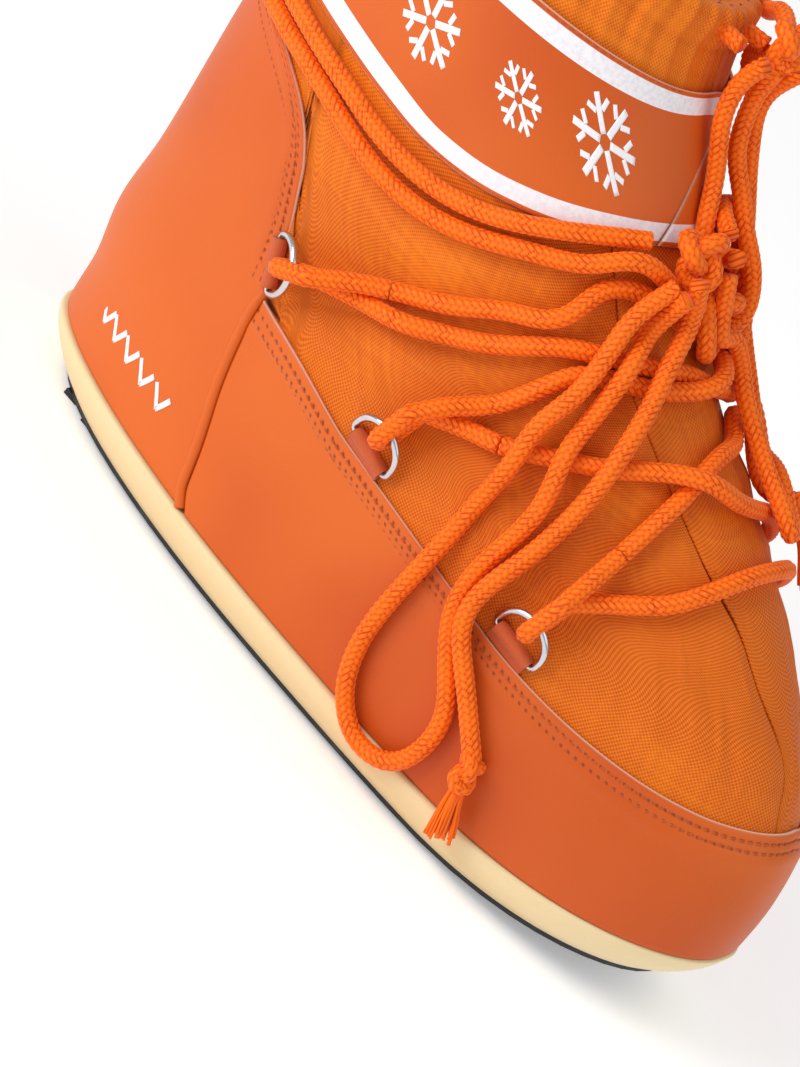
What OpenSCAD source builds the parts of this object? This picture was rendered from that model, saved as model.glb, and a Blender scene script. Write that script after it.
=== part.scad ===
// Low padded snow boot, laced with a round cord over six D-rings.
// +Z up, toe towards +X, sole on z = 0, origin in the middle of the foot's length.
// The upper is one lofted surface, on which every panel is a patch of its own.

/* [Sole] */
// Height of the sole's wall, from the tread to the upper
sole_wall = 16; // [14:0.5:18]
// Thickness of the rubber tread sheet
tread_thick = 2; // [1.5:0.5:2.5]
// Depth of the tread bars
tread_depth = 1.5; // [1:0.5:2]
// How far the sole has risen at one decimetre past the ball of the foot
toe_spring = 20; // [16:1:22]

/* [Upper] */
// Thickness of the smooth overlays
overlay_thick = 1.6; // [1:0.2:1.8]
// Thickness of the woven shell
woven_thick = 2.1; // [1.5:0.1:2.3]
// Thickness of the foam padding
foam_thick = 4; // [3:0.5:4]
// Thickness of the fleece lining
fleece_thick = 1.4; // [1:0.1:1.4]
// Height of the collar's rim
rim_height = 247; // [245:1:249]

/* [Rings] */
// Diameter of the ring wire
wire_d = 2.5; // [2:0.1:2.5]
// Distance between the middles of a ring's two legs
ring_width = 19.2; // [19:0.1:20]
// Distance from the ring's bar to the middle of its bow
ring_reach = 12.6; // [12.6:0.1:13]
// How far a ring stands off the upper at rest, in degrees
ring_tilt = 30; // [30:1:34]
// Radial running clearance of the bar in its loop
bar_clearance = 0.05; // [0.03:0.01:0.1]

/* [Laces] */
// Diameter of the round cord
lace_d = 6; // [5:0.1:6]
// Diameter of the piping in the side seams
piping_d = 2.6; // [2:0.1:2.6]

/* [Hidden] */
sides = ["right", "left"];

// Colours
overlay_colour = [0.85, 0.42, 0.16];
woven_colour = [0.90, 0.48, 0.05];
cord_colour = [1.00, 0.45, 0.08];
cream_colour = [0.86, 0.80, 0.62];

// The last: rows of [height, value] for the level curves of the upper
back_x = [[0, -146], [18, -152], [36, -155], [55, -161], [80, -164], [130, -173],
          [180, -180], [230, -185], [250, -186]];
front_x = [[0, 150], [18, 152], [36, 152], [55, 150], [74, 144], [92, 129], [110, 106],
           [129, 77], [150, 30], [170, 5], [200, -25], [230, -44], [250, -48]];
half_width = [[0, 53], [18, 56], [36, 58], [60, 58], [92, 55], [130, 52], [180, 54],
              [230, 56], [250, 55]];
middle_x = [[0, -10], [36, -15], [80, -40], [120, -65], [150, -80], [200, -100], [230, -110],
            [250, -112]];
back_power = [[0, 2], [250, 2.1]];
front_power = [[0, 2.6], [36, 2.5], [92, 2.1], [250, 2]];

// Seams: angle from the toe against height, or height against angle
counter_edge = [[14, 109.5], [24, 112], [50, 112.8], [76, 112], [90, 110.5], [106, 110],
                [116, 111], [125, 112.5], [134, 117], [140, 125], [145, 138], [149, 158],
                [150.5, 180]];
vamp_edge = [[60, 8], [84, 8], [90, 6.5], [96, 7], [106, 14], [116, 19], [126, 28],
             [137, 32.5], [149, 35], [165, 37], [185, 40], [225, 44]];
mudguard_top = [[0, 79.5], [10, 78], [20, 75.5], [32, 71.5], [44, 68], [56, 66], [66, 66.5],
                [74, 69.5], [82, 73], [90, 76.5], [100, 81.5], [112, 85.5]];
shell_bottom = [[0, 72], [44, 60], [66, 58.5], [90, 69], [108, 78], [114, 82], [117, 122],
                [124, 133], [142, 140], [180, 144]];
band_bottom = [[0, 184.5], [22, 182], [43, 176], [65, 167], [78, 162], [90, 159.5],
               [102, 160], [116, 161], [140, 162], [180, 163]];
band_top = [[0, 222.5], [20, 221], [41, 220], [72, 218.5], [90, 217.5], [180, 216]];

// Layers, as distances out from the lofted surface
gap = 0.3;
shell_out = -0.4;
shell_in = shell_out - woven_thick;
foam_out = shell_in - 0.9;
foam_in = foam_out - foam_thick;
fleece_out = foam_in - gap;
fleece_in = fleece_out - fleece_thick;
hem_out = -9.4;
hem_in = -10.6;
hem_bottom = rim_height - 10;
foot_in = fleece_in - 1.1;
foot_level = 22;
spring_start = 60;
tread_top = tread_depth + tread_thick;
board_thick = 2;
footbed_thick = 5;
seam_gap = 1.5;
seam_foot = 85;

// Rings: middle of the bar, its direction, and the outward normal, for the right side
ring_place = [[-91.6, -54.4, 96.5], [-26.5, -58.7, 80.3], [48, -54.7, 72.5]];
ring_bar = [[0.507, -0.091, -0.857], [0.982, -0.007, -0.189], [0.983, 0.102, -0.154]];
ring_out = [[-0.165, -0.986, 0.007], [0.016, -0.993, 0.118], [0.133, -0.969, 0.21]];
turn_tilt = 20;
turn_r = 4.4;
turn_leg = 8;
loop_r = 2.45;
loop_half = 8;
tab_long = 12;
tab_low = -0.7;
tab_high = 0.5;

// Cord routes
vamp_route = [[51.5, -53.5, 95], [60.5, -44.5, 103], [70.5, -38, 112], [75.5, -27.5, 122],
                [78, -15, 130], [79.5, 0.5, 132.5], [78.5, 14.5, 130], [76, 27.5, 122],
                [70.5, 38, 112.5], [60.5, 45, 103.5], [51.5, 53.5, 95]];
low_right_route = [[52.5, -62, 95.5], [51.5, -53, 105], [50.5, -43.5, 114], [50, -38, 125.5],
                [49, -30, 135.5], [46, -19.5, 143], [43, -8, 148], [41, 5, 148],
                [30.5, 16.5, 150.5], [30.5, 31.5, 143.5], [29, 39, 135.5], [21, 46.5, 127.5],
                [12, 50, 119], [0.5, 53, 113], [-11.5, 55.5, 109], [-22, 60, 103]];
low_left_route = [[-22, -60, 103], [-9, -54, 108.5], [2, -53.5, 112.5], [18.5, -47.5, 123],
                [29, -42.5, 129.5], [41, -33, 140], [51.5, -27, 146], [58.5, -12.5, 142.5],
                [61, 2.5, 140], [61.5, 18, 136.5], [62.5, 30.5, 128.5], [58, 40.5, 117],
                [55, 51.5, 106.5], [52.5, 62, 95.5]];
mid_right_route = [[-22.5, -68.5, 102.5], [-16.5, -60.5, 112], [-8.5, -52.5, 119.5],
                [-2.5, -50.5, 133], [1.5, -44, 143.5], [12, -35, 149.5], [20, -25, 153],
                [27.5, -12.5, 160.5], [26, -3.5, 164.5], [18, 6, 163.5], [4, 27, 165.5],
                [4.5, 35, 155], [-5, 43.5, 149], [-13.5, 50.5, 140], [-24, 53, 131],
                [-35.5, 55, 123.5], [-48, 56.5, 118], [-60.5, 57.5, 112.5], [-73, 61.5, 108]];
mid_left_route = [[-73, -61.5, 108], [-61, -57, 111.5], [-46.5, -59.5, 117], [-36, -55, 123],
                [-25, -53.5, 130], [-14.5, -51, 139.5], [-6, -44.5, 147.5], [3.5, -37.5, 152],
                [13.5, -26.5, 156.5], [18.5, -15, 159], [24.5, -3, 158], [25, 13, 155],
                [23, 26.5, 150.5], [10, 37, 148.5], [1.5, 44, 143], [-2.5, 50.5, 132],
                [-9, 53.5, 120.5], [-16.5, 61.5, 112.5], [-22.5, 68.5, 102.5]];
wrap_right_route = [[-76, -69.5, 107.5], [-65, -62, 116], [-54.5, -55.5, 122], [-39.5, -55, 131.5],
                [-27.5, -51.5, 142], [-12.5, -49, 152.5], [-12.5, -38, 167], [-1.5, -25.5, 171.5],
                [11.5, -7, 167.5], [2.5, 5, 176.5], [-3.5, 20, 177], [-14, 33.5, 176],
                [-22.5, 44, 168], [-35, 50, 160.5], [-48.5, 53.5, 152.5], [-63, 55.5, 146.5],
                [-78.5, 56, 144], [-94.5, 55, 144], [-110, 53, 146], [-125.5, 50, 147.5],
                [-141, 45, 149.5], [-155.5, 38, 151.5], [-168, 28.5, 153], [-177, 15, 154],
                [-180.5, -0.5, 155.5], [-177, -16, 156.5], [-168, -29, 155.5], [-155, -39, 155.5],
                [-140.5, -46, 155], [-125, -51, 154], [-109.5, -54, 153], [-94, -55.5, 151.5],
                [-78, -56, 152], [-62.5, -55, 155], [-48, -54, 161.5], [-35, -50, 170],
                [-24, -41.5, 178], [-14, -31, 185]];
wrap_left_route = [[-76, 69.5, 107.5], [-64, 62, 118], [-51, 55, 126.5], [-36, 54.5, 136],
                [-21.5, 52, 150], [-12, 43, 156.5], [-1.5, 28.5, 169.5], [7, 9.5, 172.5],
                [11, 3.5, 183], [4.5, -9.5, 173], [-9.5, -35.5, 181], [-20, -44.5, 169],
                [-35.5, -50.5, 160], [-51, -54.5, 151], [-68, -56, 145], [-85.5, -55.5, 143],
                [-103, -54.5, 144.5], [-120, -51, 146.5], [-137, -46.5, 147.5],
                [-153.5, -38.5, 148], [-168, -29, 148.5], [-181.5, -17, 150.5],
                [-187.5, -2, 156.5], [-181.5, 14, 160], [-171, 29, 159.5], [-157.5, 40, 158],
                [-141, 46.5, 156.5], [-124, 51.5, 154.5], [-106.5, 54.5, 153], [-88.5, 56, 152.5],
                [-71, 56, 154], [-54.5, 54, 158.5], [-39, 52, 167], [-27, 44.5, 177],
                [-16, 32, 182.5], [-12, 17.5, 189.5], [-7, -2, 190]];
bow_at = [-2, -18, 189];
bow_half = 5;
bow_r = 8;
loop_right_route = [[2, -30, 181], [0.5, -38.5, 167], [4, -43.5, 155], [7.5, -50.5, 140.5],
                [6, -55, 127], [9.5, -58.5, 112.5], [9, -55.5, 96], [10.5, -59, 82],
                [11.5, -62, 67], [12, -63, 52], [14, -63, 37], [20, -62.5, 23.5], [31.5, -61, 14],
                [46, -60.5, 16], [51.5, -61.5, 28.5], [49.5, -62, 43], [39, -61.5, 54],
                [28, -60.5, 66.5], [24.5, -59.5, 81.5], [25, -56, 97], [24.5, -55, 111],
                [18, -53.5, 127], [15.5, -46.5, 133.5], [11.5, -40.5, 156], [4.5, -28, 164],
                [7, -30, 181]];
loop_left_route = [[4, -8, 194], [-5, 8.5, 184.5], [-4, 16, 186], [11, 21, 173], [20, 17.5, 157.5],
                [15, 32, 157], [32.5, 27.5, 152.5], [41, 27.5, 146], [43, 33.5, 142],
                [54.5, 21, 146.5], [75.5, 9, 139], [64, 7, 145.5], [52.5, 9, 148.5],
                [43, 10, 153.5], [34, 8.5, 158], [24, 12, 164], [16, 2.5, 173.5],
                [17.5, -5.5, 169.5], [6, -10, 189]];
tail_right_route = [[6, -27, 186], [10.5, -19.5, 172], [17, -29, 161], [23.5, -36, 150],
                [29, -45, 138], [32.5, -50.5, 124.5], [33, -52, 109.5], [33, -57.5, 95.5],
                [31, -62, 81], [33.5, -64, 68], [49.5, -62.5, 53.5], [65.5, -61.5, 39.5]];
tail_left_route = [[-4, -4, 196], [-14.5, 5, 197], [-17.5, 22, 194.5], [-11, 30.5, 190],
                [-6.5, 35.5, 175], [-2.5, 40, 166.5], [2, 45.5, 153.5], [7, 50, 142],
                [5, 52.5, 129.5], [6, 58, 117], [7, 58.5, 103], [6.5, 58, 90], [7, 61.5, 77],
                [7, 65.5, 63]];
tail_right_end = [66, -61.5, 38];
tail_left_end = [7, 65.5, 61.5];
string_at = [-33, 2, 250];
string_half = 3;
string_r = 8;
string_loop_right_route = [[-31, -9, 243], [-34.5, -7, 234], [-31.5, -6.5, 221.5],
                [-26, -3.5, 212.5], [-19, -1, 201.5], [-11.5, -5.5, 192],
                [-3.5, -3.5, 182.5], [5.5, -11, 179], [13, -15, 175], [18, -12.5, 168],
                [17, -5, 163.5], [12.5, 5.5, 167.5], [13, 14, 176], [3.5, 14.5, 188.5],
                [-5.5, 11, 195.5], [-15.5, 11, 204], [-23, 7.5, 210.5], [-27, 5, 219],
                [-31, 3, 231.5], [-30, 0, 242]];
string_loop_left_route = [[-31, 10, 244], [-33.5, 13, 238.5], [-32.5, 20.5, 225.5],
                [-38, 26.5, 222.5], [-45, 28, 226.5], [-47, 23, 234], [-37.5, 11, 240],
                [-33, 9, 248]];
string_tail_side_route = [[-37, 9, 249], [-47, 19.5, 250.5], [-54.5, 32.5, 242.5],
                [-64.5, 43.5, 240.5], [-77.5, 51.5, 239], [-91.5, 57, 236], [-106, 59.5, 231.5],
                [-119, 60, 223], [-126.5, 59.5, 209.5], [-129.5, 59.5, 193.5]];
string_tail_front_route = [[-25, 5, 246], [-30.5, 10, 229], [-21.5, 15.5, 211], [-11, 20, 196.5],
                [-0.5, 25, 181], [10, 27, 169], [32.5, 21, 155], [52.5, 19, 140], [62, 28, 142]];
string_tail_side_end = [-129, 59.5, 192];
string_tail_front_end = [63.5, 28, 141];
string_level = rim_height - 6.2;
string_off = -6;
string_exit = 9;

// Smooth curve through rows of [position, value]
function slope(rows, k) =
    let (a = max(k - 1, 0), b = min(k + 1, len(rows) - 1))
    (rows[b][1] - rows[a][1]) / (rows[b][0] - rows[a][0]);
function row_at(rows, at, k = 0) =
    (k >= len(rows) - 2 || at < rows[k + 1][0]) ? k : row_at(rows, at, k + 1);
function curve(rows, at) =
    let (q = min(max(at, rows[0][0]), rows[len(rows) - 1][0]),
         k = row_at(rows, q),
         h = rows[k + 1][0] - rows[k][0],
         u = (q - rows[k][0]) / h)
    (2 * u ^ 3 - 3 * u ^ 2 + 1) * rows[k][1] + (u ^ 3 - 2 * u ^ 2 + u) * h * slope(rows, k)
    + (3 * u ^ 2 - 2 * u ^ 3) * rows[k + 1][1] + (u ^ 3 - u ^ 2) * h * slope(rows, k + 1);
function lerp(a, b, u) = a + (b - a) * u;
function unit(v) = v / norm(v);
function flip(v) = [v[0], -v[1], v[2]];

// Point of the lofted surface at an angle from the toe and a height: two half superellipses
function lofted(t, z) =
    let (c = cos(t), s = sin(t), xm = curve(middle_x, z),
         reach = c >= 0 ? curve(front_x, z) - xm : xm - curve(back_x, z),
         p = 2 / curve(c >= 0 ? front_power : back_power, z))
    [xm + reach * sign(c) * abs(c) ^ p, curve(half_width, z) * sign(s) * abs(s) ^ p, z];
step_t = 0.4;
step_z = 0.4;
function outward(t, z) =
    unit(cross(lofted(t + step_t, z) - lofted(t - step_t, z),
               lofted(t, z + step_z) - lofted(t, z - step_z)));
function upper(t, z, out) = lofted(t, z) + out * outward(t, z);
function spring(x) = toe_spring * (max(0, x - spring_start) / 100) ^ 2;
function sole_line(t) = spring(lofted(t, foot_level)[0]) + sole_wall;

// Closed shell over a patch: chart(u, v) gives [angle, height]
module shell(chart, nu, nv, inner, outer, around = false) {
    wide = around ? nu : nu + 1;
    layer = wide * (nv + 1);
    points = [for (out = [outer, inner]) for (j = [0:nv]) for (i = [0:wide - 1])
        let (q = chart(i / nu, j / nv)) upper(q[0], q[1], out)];
    function at(i, j, k) = k * layer + j * wide + (i % wide);
    faces = concat(
        [for (j = [0:nv - 1]) for (i = [0:nu - 1])
            [at(i, j, 0), at(i, j + 1, 0), at(i + 1, j + 1, 0), at(i + 1, j, 0)]],
        [for (j = [0:nv - 1]) for (i = [0:nu - 1])
            [at(i, j, 1), at(i + 1, j, 1), at(i + 1, j + 1, 1), at(i, j + 1, 1)]],
        [for (i = [0:nu - 1]) [at(i, 0, 0), at(i + 1, 0, 0), at(i + 1, 0, 1), at(i, 0, 1)]],
        [for (i = [0:nu - 1]) [at(i, nv, 0), at(i, nv, 1), at(i + 1, nv, 1), at(i + 1, nv, 0)]],
        around ? [] : [for (j = [0:nv - 1])
            [at(0, j, 0), at(0, j, 1), at(0, j + 1, 1), at(0, j + 1, 0)]],
        around ? [] : [for (j = [0:nv - 1])
            [at(nu, j, 0), at(nu, j + 1, 0), at(nu, j + 1, 1), at(nu, j, 1)]]);
    polyhedron(points, faces, convexity = 6);
}

// Solid through level loops that mirror about y = 0, with strips across for its ends
module stack(loops) {
    n = len(loops[0]);
    points = [for (l = loops) each l];
    last = (len(loops) - 1) * n;
    function at(i, j) = j * n + (i % n);
    faces = concat(
        [for (j = [0:len(loops) - 2]) for (i = [0:n - 1])
            [at(i, j), at(i, j + 1), at(i + 1, j + 1), at(i + 1, j)]],
        [for (i = [0:n / 2 - 1]) i == 0 ? [0, 1, n - 1] :
            i == n / 2 - 1 ? [i, i + 1, n - i] : [i, i + 1, n - i - 1, n - i]],
        [for (i = [0:n / 2 - 1]) i == 0 ? [last, last + n - 1, last + 1] :
            i == n / 2 - 1 ? [last + i, last + n - i, last + i + 1] :
            [last + i, last + n - i, last + n - i - 1, last + i + 1]]);
    polyhedron(points, faces, convexity = 4);
}
loop_points = 60;
// Loop of the sole at a height, drawn in at the toe, the heel and the sides
function sole_loop(z, toe, heel, side, out = 0) = [for (i = [0:loop_points - 1])
    let (t = 360 * i / loop_points, c = cos(t), s = sin(t),
         p = lofted(t, foot_level) + out * outward(t, foot_level),
         x = p[0] - sign(c) * (c > 0 ? toe : heel) * c * c)
    [x, p[1] - side * s, spring(x) + z]];

// Smooth route through hand-set points, and a round tube along it
function cat(a, b, c, d, u) =
    0.5 * (2 * b + (c - a) * u + (2 * a - 5 * b + 4 * c - d) * u ^ 2
           + (3 * b - 3 * c + d - a) * u ^ 3);
function smooth(route, parts = 2) = let (n = len(route)) concat(
    [for (k = [0:n - 2]) for (j = [0:parts - 1])
        cat(k == 0 ? 2 * route[0] - route[1] : route[k - 1], route[k], route[k + 1],
            k == n - 2 ? 2 * route[n - 1] - route[n - 2] : route[k + 2], j / parts)],
    [route[n - 1]]);
function heading(line, i) =
    unit(line[min(i + 1, len(line) - 1)] - line[max(i - 1, 0)]);
function carried(line, side, i = 0) = i == len(line) ? [] :
    let (h = heading(line, i), s = unit(side - h * (side * h)))
    concat([s], carried(line, s, i + 1));
module tube(line, d, n = 8) {
    sides_at = carried(line, unit(cross(heading(line, 0), [0.3, 0.5, 0.81])));
    rings = len(line);
    points = [for (i = [0:rings - 1])
        let (s = sides_at[i], o = cross(heading(line, i), s))
        for (k = [0:n - 1]) line[i] + d / 2 * (cos(360 * k / n) * s + sin(360 * k / n) * o)];
    faces = concat(
        [for (i = [0:rings - 2]) for (k = [0:n - 1])
            [i * n + k, i * n + n + k, i * n + n + (k + 1) % n, i * n + (k + 1) % n]],
        [[for (k = [0:n - 1]) k]],
        [[for (k = [0:n - 1]) rings * n - 1 - k]]);
    polyhedron(points, faces, convexity = 6);
}
module cord(route) {
    color(cord_colour) tube(smooth(route), lace_d);
}

// ---- Sole
module outsole() {
    bars = 15;
    bar_pitch = 12;
    bar_w = 6;
    bar_inset = 12;
    color([0.12, 0.12, 0.13]) union() {
        stack([sole_loop(tread_depth, 10, 14, 5), sole_loop(tread_top, 9, 13, 4)]);
        for (k = [0:bars - 1]) {
            x = -122 + k * bar_pitch;
            u = (x - 3 * sign(x + 12) + 12) / 148;
            half = lofted(90, foot_level)[1] * sqrt(1 - u * u) - bar_inset;
            translate([x - bar_w / 2, -half, 0]) cube([bar_w, 2 * half, tread_depth + 0.5]);
        }
    }
}
module midsole() {
    color(cream_colour) stack([
        sole_loop(tread_top, 9, 13, 4), sole_loop(tread_top + 3, 4, 7, 0.5),
        sole_loop(tread_top + 7, 0, 1, -1.4), sole_loop(sole_wall - 2.5, -1.6, -1.5, -2.2),
        sole_loop(sole_wall - 0.8, -2, -2, -2.2), sole_loop(sole_wall, -1.2, -1.2, -1.4)]);
}
module insole_board() {
    low = sole_wall + 0.2;
    color([0.75, 0.7, 0.6])
        stack([sole_loop(low, 0, 0, 0, foot_in), sole_loop(low + board_thick, 0, 0, 0, foot_in)]);
}
module footbed() {
    low = sole_wall + 0.4 + board_thick;
    color([0.3, 0.3, 0.32])
        stack([sole_loop(low, 0, 0, 0, foot_in), sole_loop(low + footbed_thick, 0, 0, 0, foot_in)]);
}

// ---- Padding inside the upper
padding_chart = function(u, v) let (t = 360 * u) [t, lerp(sole_line(t) + 0.3, hem_bottom - 1, v)];
module foam_liner() {
    color([0.93, 0.9, 0.82]) shell(padding_chart, 32, 12, foam_in, foam_out, true);
}
module fleece_lining() {
    color([0.95, 0.75, 0.5]) shell(padding_chart, 32, 12, fleece_in, fleece_out, true);
}
module heel_stiffener() {
    chart = function(u, v) let (t = lerp(120, 240, u)) [t, lerp(sole_line(t) + 0.3, 118, v)];
    color([0.8, 0.78, 0.7]) shell(chart, 14, 6, shell_in, shell_out);
}
module toe_puff() {
    chart = function(u, v) let (t = lerp(-62, 62, u))
        [t, lerp(sole_line(t) + 0.3, curve(shell_bottom, abs(t)) - 1, v)];
    color([0.8, 0.78, 0.7]) shell(chart, 20, 3, shell_in, shell_out);
}

// ---- Smooth overlays
function seam_room(z) = seam_gap * min(1, max(0, (seam_foot + 4 - z) / 8));
module mudguard() {
    chart = function(u, v)
        let (w = 2 * u - 1, t0 = 111 * w,
             z0 = lerp(sole_line(t0), curve(mudguard_top, abs(t0)), v),
             t = w * (curve(counter_edge, z0) - seam_gap))
        [t, lerp(sole_line(t) + 0.5, curve(mudguard_top, abs(t)), v)];
    color(overlay_colour) shell(chart, 50, 5, 0, overlay_thick);
}
module heel_counter() {
    top = 149.6;
    chart = function(u, v)
        let (z = lerp(sole_wall + 0.5, top, 1 - (1 - v) ^ 1.7),
             s = curve(counter_edge, z) + seam_room(z))
        [lerp(s, 360 - s, u), z];
    color(overlay_colour) shell(chart, 26, 12, 0.3, overlay_thick);
}
module piping() {
    levels = [for (k = [0:10]) lerp(sole_wall + 0.8, seam_foot, k / 10)];
    color(overlay_colour)
        tube([for (z = levels) upper(-curve(counter_edge, z), z, piping_d / 2 + 0.15)], piping_d);
}

// ---- Woven shell
function shell_top(t) = curve(band_top, abs(t)) - 4;
module quarter() {
    back = -179.7;
    chart = function(u, v)
        let (t0 = lerp(back, -30, u), z0 = lerp(curve(shell_bottom, -t0), shell_top(t0), v),
             t1 = lerp(back, -curve(vamp_edge, z0) - 0.4, u),
             z1 = lerp(curve(shell_bottom, -t1), shell_top(t1), v),
             t = lerp(back, -curve(vamp_edge, z1) - 0.4, u))
        [t, lerp(curve(shell_bottom, -t), shell_top(t), v)];
    color(woven_colour) shell(chart, 26, 11, shell_in, shell_out);
}
module vamp_panel() {
    chart = function(u, v)
        let (w = 2 * u - 1, z0 = lerp(72, 218, v), t0 = w * curve(vamp_edge, z0),
             z1 = lerp(curve(shell_bottom, abs(t0)), shell_top(t0), v),
             t = w * curve(vamp_edge, z1))
        [t, lerp(curve(shell_bottom, abs(t)), shell_top(t), v)];
    color(woven_colour) shell(chart, 10, 22, shell_in, shell_out);
}
function band_end(z) = lerp(-22, 14, (z - 182) / 40);
module ankle_band(from, to) {
    // from and to are functions of height that give the panel's two ends
    chart = function(u, v)
        let (z0 = lerp(172, 219, v), t0 = lerp(from(z0), to(z0), u),
             z1 = lerp(curve(band_bottom, abs(t0)), curve(band_top, abs(t0)), v),
             t = lerp(from(z1), to(z1), u))
        [t, lerp(curve(band_bottom, abs(t)), curve(band_top, abs(t)), v)];
    color(overlay_colour) shell(chart, 30, 5, 0.3, overlay_thick);
}
module collar() {
    n = 52;
    low = function(t) curve(band_top, t > 180 ? 360 - t : t) - 3.5;
    mid = function(t) (low(t) + rim_height) / 2;
    // profile of the folded hem, as [distance out, height]
    rows = function(t) [[shell_out, low(t)], [shell_out, mid(t)], [shell_out, rim_height],
        [hem_in, rim_height], [hem_in, hem_bottom], [hem_out, hem_bottom],
        [hem_out, rim_height - 1.6], [shell_in, rim_height - 1.6], [shell_in, mid(t)],
        [shell_in, low(t)]];
    m = 10;
    points = [for (i = [0:n - 1]) let (t = 360 * i / n)
        for (q = rows(t)) upper(t, q[1], q[0])];
    faces = [for (i = [0:n - 1]) for (k = [0:m - 1])
        [i * m + k, i * m + (k + 1) % m, ((i + 1) % n) * m + (k + 1) % m, ((i + 1) % n) * m + k]];
    color(woven_colour) difference() {
        polyhedron(points, faces, convexity = 8);
        for (t = [-string_exit, string_exit])
            along(upper(t, string_level, -5), outward(t, string_level))
                cylinder(d = lace_d + 0.6, h = 8, $fn = 32);
    }
}

// ---- Rings and what holds them
// Puts children, drawn along +Z from the origin, at a point and along a direction
module along(at, dir) {
    z = unit(dir);
    x = unit(cross(abs(z[1]) < 0.9 ? [0, 1, 0] : [0, 0, 1], z));
    y = cross(z, x);
    multmatrix([[x[0], y[0], z[0], at[0]], [x[1], y[1], z[1], at[1]], [x[2], y[2], z[2], at[2]]])
        children();
}
// Local frame of a ring: X along the bar, Y up along the upper, Z outwards, turned by tilt
module ring_frame(k, tilt) {
    b = unit(ring_bar[k - 1]);
    n = unit(ring_out[k - 1] - b * (b * ring_out[k - 1]));
    f = cross(n, b);
    y = cos(tilt) * f + sin(tilt) * n;
    z = cross(b, y);
    c = ring_place[k - 1];
    multmatrix([[b[0], y[0], z[0], c[0]], [b[1], y[1], z[1], c[1]], [b[2], y[2], z[2], c[2]]])
        children();
}
module ring_loop(k) {
    color(overlay_colour) ring_frame(k, 0) difference() {
        union() {
            rotate([0, 90, 0]) cylinder(r = loop_r, h = 2 * loop_half, center = true, $fn = 40);
            translate([-loop_half, -tab_long, tab_low])
                cube([2 * loop_half, tab_long, tab_high - tab_low]);
        }
        rotate([0, 90, 0])
            cylinder(d = wire_d + 2 * bar_clearance, h = 2 * loop_half + 2, center = true, $fn = 40);
    }
}
module d_ring(k) {
    half = ring_width / 2;
    leg = ring_reach - half;
    color([0.8, 0.81, 0.83]) ring_frame(k, ring_tilt) union() {
        rotate([0, 90, 0]) cylinder(d = wire_d, h = ring_width, center = true, $fn = 32);
        for (x = [-half, half]) translate([x, 0, 0]) {
            sphere(d = wire_d, $fn = 32);
            rotate([-90, 0, 0]) cylinder(d = wire_d, h = leg, $fn = 32);
        }
        translate([0, leg, 0]) rotate_extrude(angle = 180, $fn = 64)
            translate([half, 0]) circle(d = wire_d, $fn = 32);
    }
}
module lace_turn(k) {
    color(cord_colour) ring_frame(k, ring_tilt) translate([0, ring_reach, 0])
        rotate([-turn_tilt, 0, 0]) union() {
            for (z = [-turn_r, turn_r]) translate([0, 0, z])
                rotate([-90, 0, 0]) cylinder(d = lace_d, h = turn_leg, $fn = 32);
            rotate([90, 0, -90]) rotate([0, 0, 90]) rotate_extrude(angle = 180, $fn = 64)
                translate([turn_r, 0]) circle(d = lace_d, $fn = 32);
        }
}

// ---- Knots and ends of the cords
module knot(at, half, r) {
    color(cord_colour) hull() for (y = [-half, half])
        translate(at + [0, y, 0]) sphere(r = r, $fn = 18);
}
module tassel(at, dir) {
    knot_r = 5.2;
    tassel_long = 24;
    color(cord_colour) along(at, dir) union() {
        translate([0, 0, 3]) sphere(r = knot_r, $fn = 32);
        translate([0, 0, 3]) cylinder(r1 = 3.2, r2 = 5, h = tassel_long, $fn = 32);
    }
}
module drawstring() {
    n = 40;
    inside = [for (i = [0:n]) let (t = lerp(string_exit + 5, 355 - string_exit, i / n))
        upper(t, string_level, string_off)];
    color(cord_colour) tube(concat(
        [upper(string_exit, string_level, 3), upper(string_exit, string_level, -2)], inside,
        [upper(-string_exit, string_level, -2), upper(-string_exit, string_level, 3)]), lace_d);
}

outsole();
midsole();
insole_board();
footbed();
foam_liner();
fleece_lining();
heel_stiffener();
toe_puff();
mudguard();
heel_counter();
piping();  // piping_right
mirror([0, 1, 0]) piping();  // piping_left
quarter();  // quarter_right
mirror([0, 1, 0]) quarter();  // quarter_left
vamp_panel();
ankle_band(function(z) -179.7, function(z) band_end(z));  // ankle_band_right
ankle_band(function(z) band_end(z) + 0.6, function(z) 179.7);  // ankle_band_left
collar();
for (k = [1:3]) {
    ring_loop(k);
    mirror([0, 1, 0]) ring_loop(k);
    d_ring(k);
    mirror([0, 1, 0]) d_ring(k);
    lace_turn(k);
    mirror([0, 1, 0]) lace_turn(k);
}
cord(vamp_route);  // lace_vamp
cord(low_right_route);  // lace_low_right
cord(low_left_route);  // lace_low_left
cord(mid_right_route);  // lace_mid_right
cord(mid_left_route);  // lace_mid_left
cord(wrap_right_route);  // lace_wrap_right
cord(wrap_left_route);  // lace_wrap_left
knot(bow_at, bow_half, bow_r);  // bow_knot
cord(loop_right_route);  // bow_loop_right
cord(loop_left_route);  // bow_loop_left
cord(tail_right_route);  // bow_tail_right
cord(tail_left_route);  // bow_tail_left
tassel(tail_right_end, [0.31, -0.02, -0.95]);  // bow_end_right
tassel(tail_left_end, [0, 0.07, -1]);  // bow_end_left
drawstring();
knot(string_at, string_half, string_r);  // drawstring_knot
cord(string_loop_right_route);  // drawstring_loop_right
cord(string_loop_left_route);  // drawstring_loop_left
cord(string_tail_side_route);  // drawstring_tail_side
cord(string_tail_front_route);  // drawstring_tail_front
tassel(string_tail_side_end, [0.13, 0.01, -0.99]);  // drawstring_end_side
tassel(string_tail_front_end, [0.88, -0.08, -0.47]);  // drawstring_end_front
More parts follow.
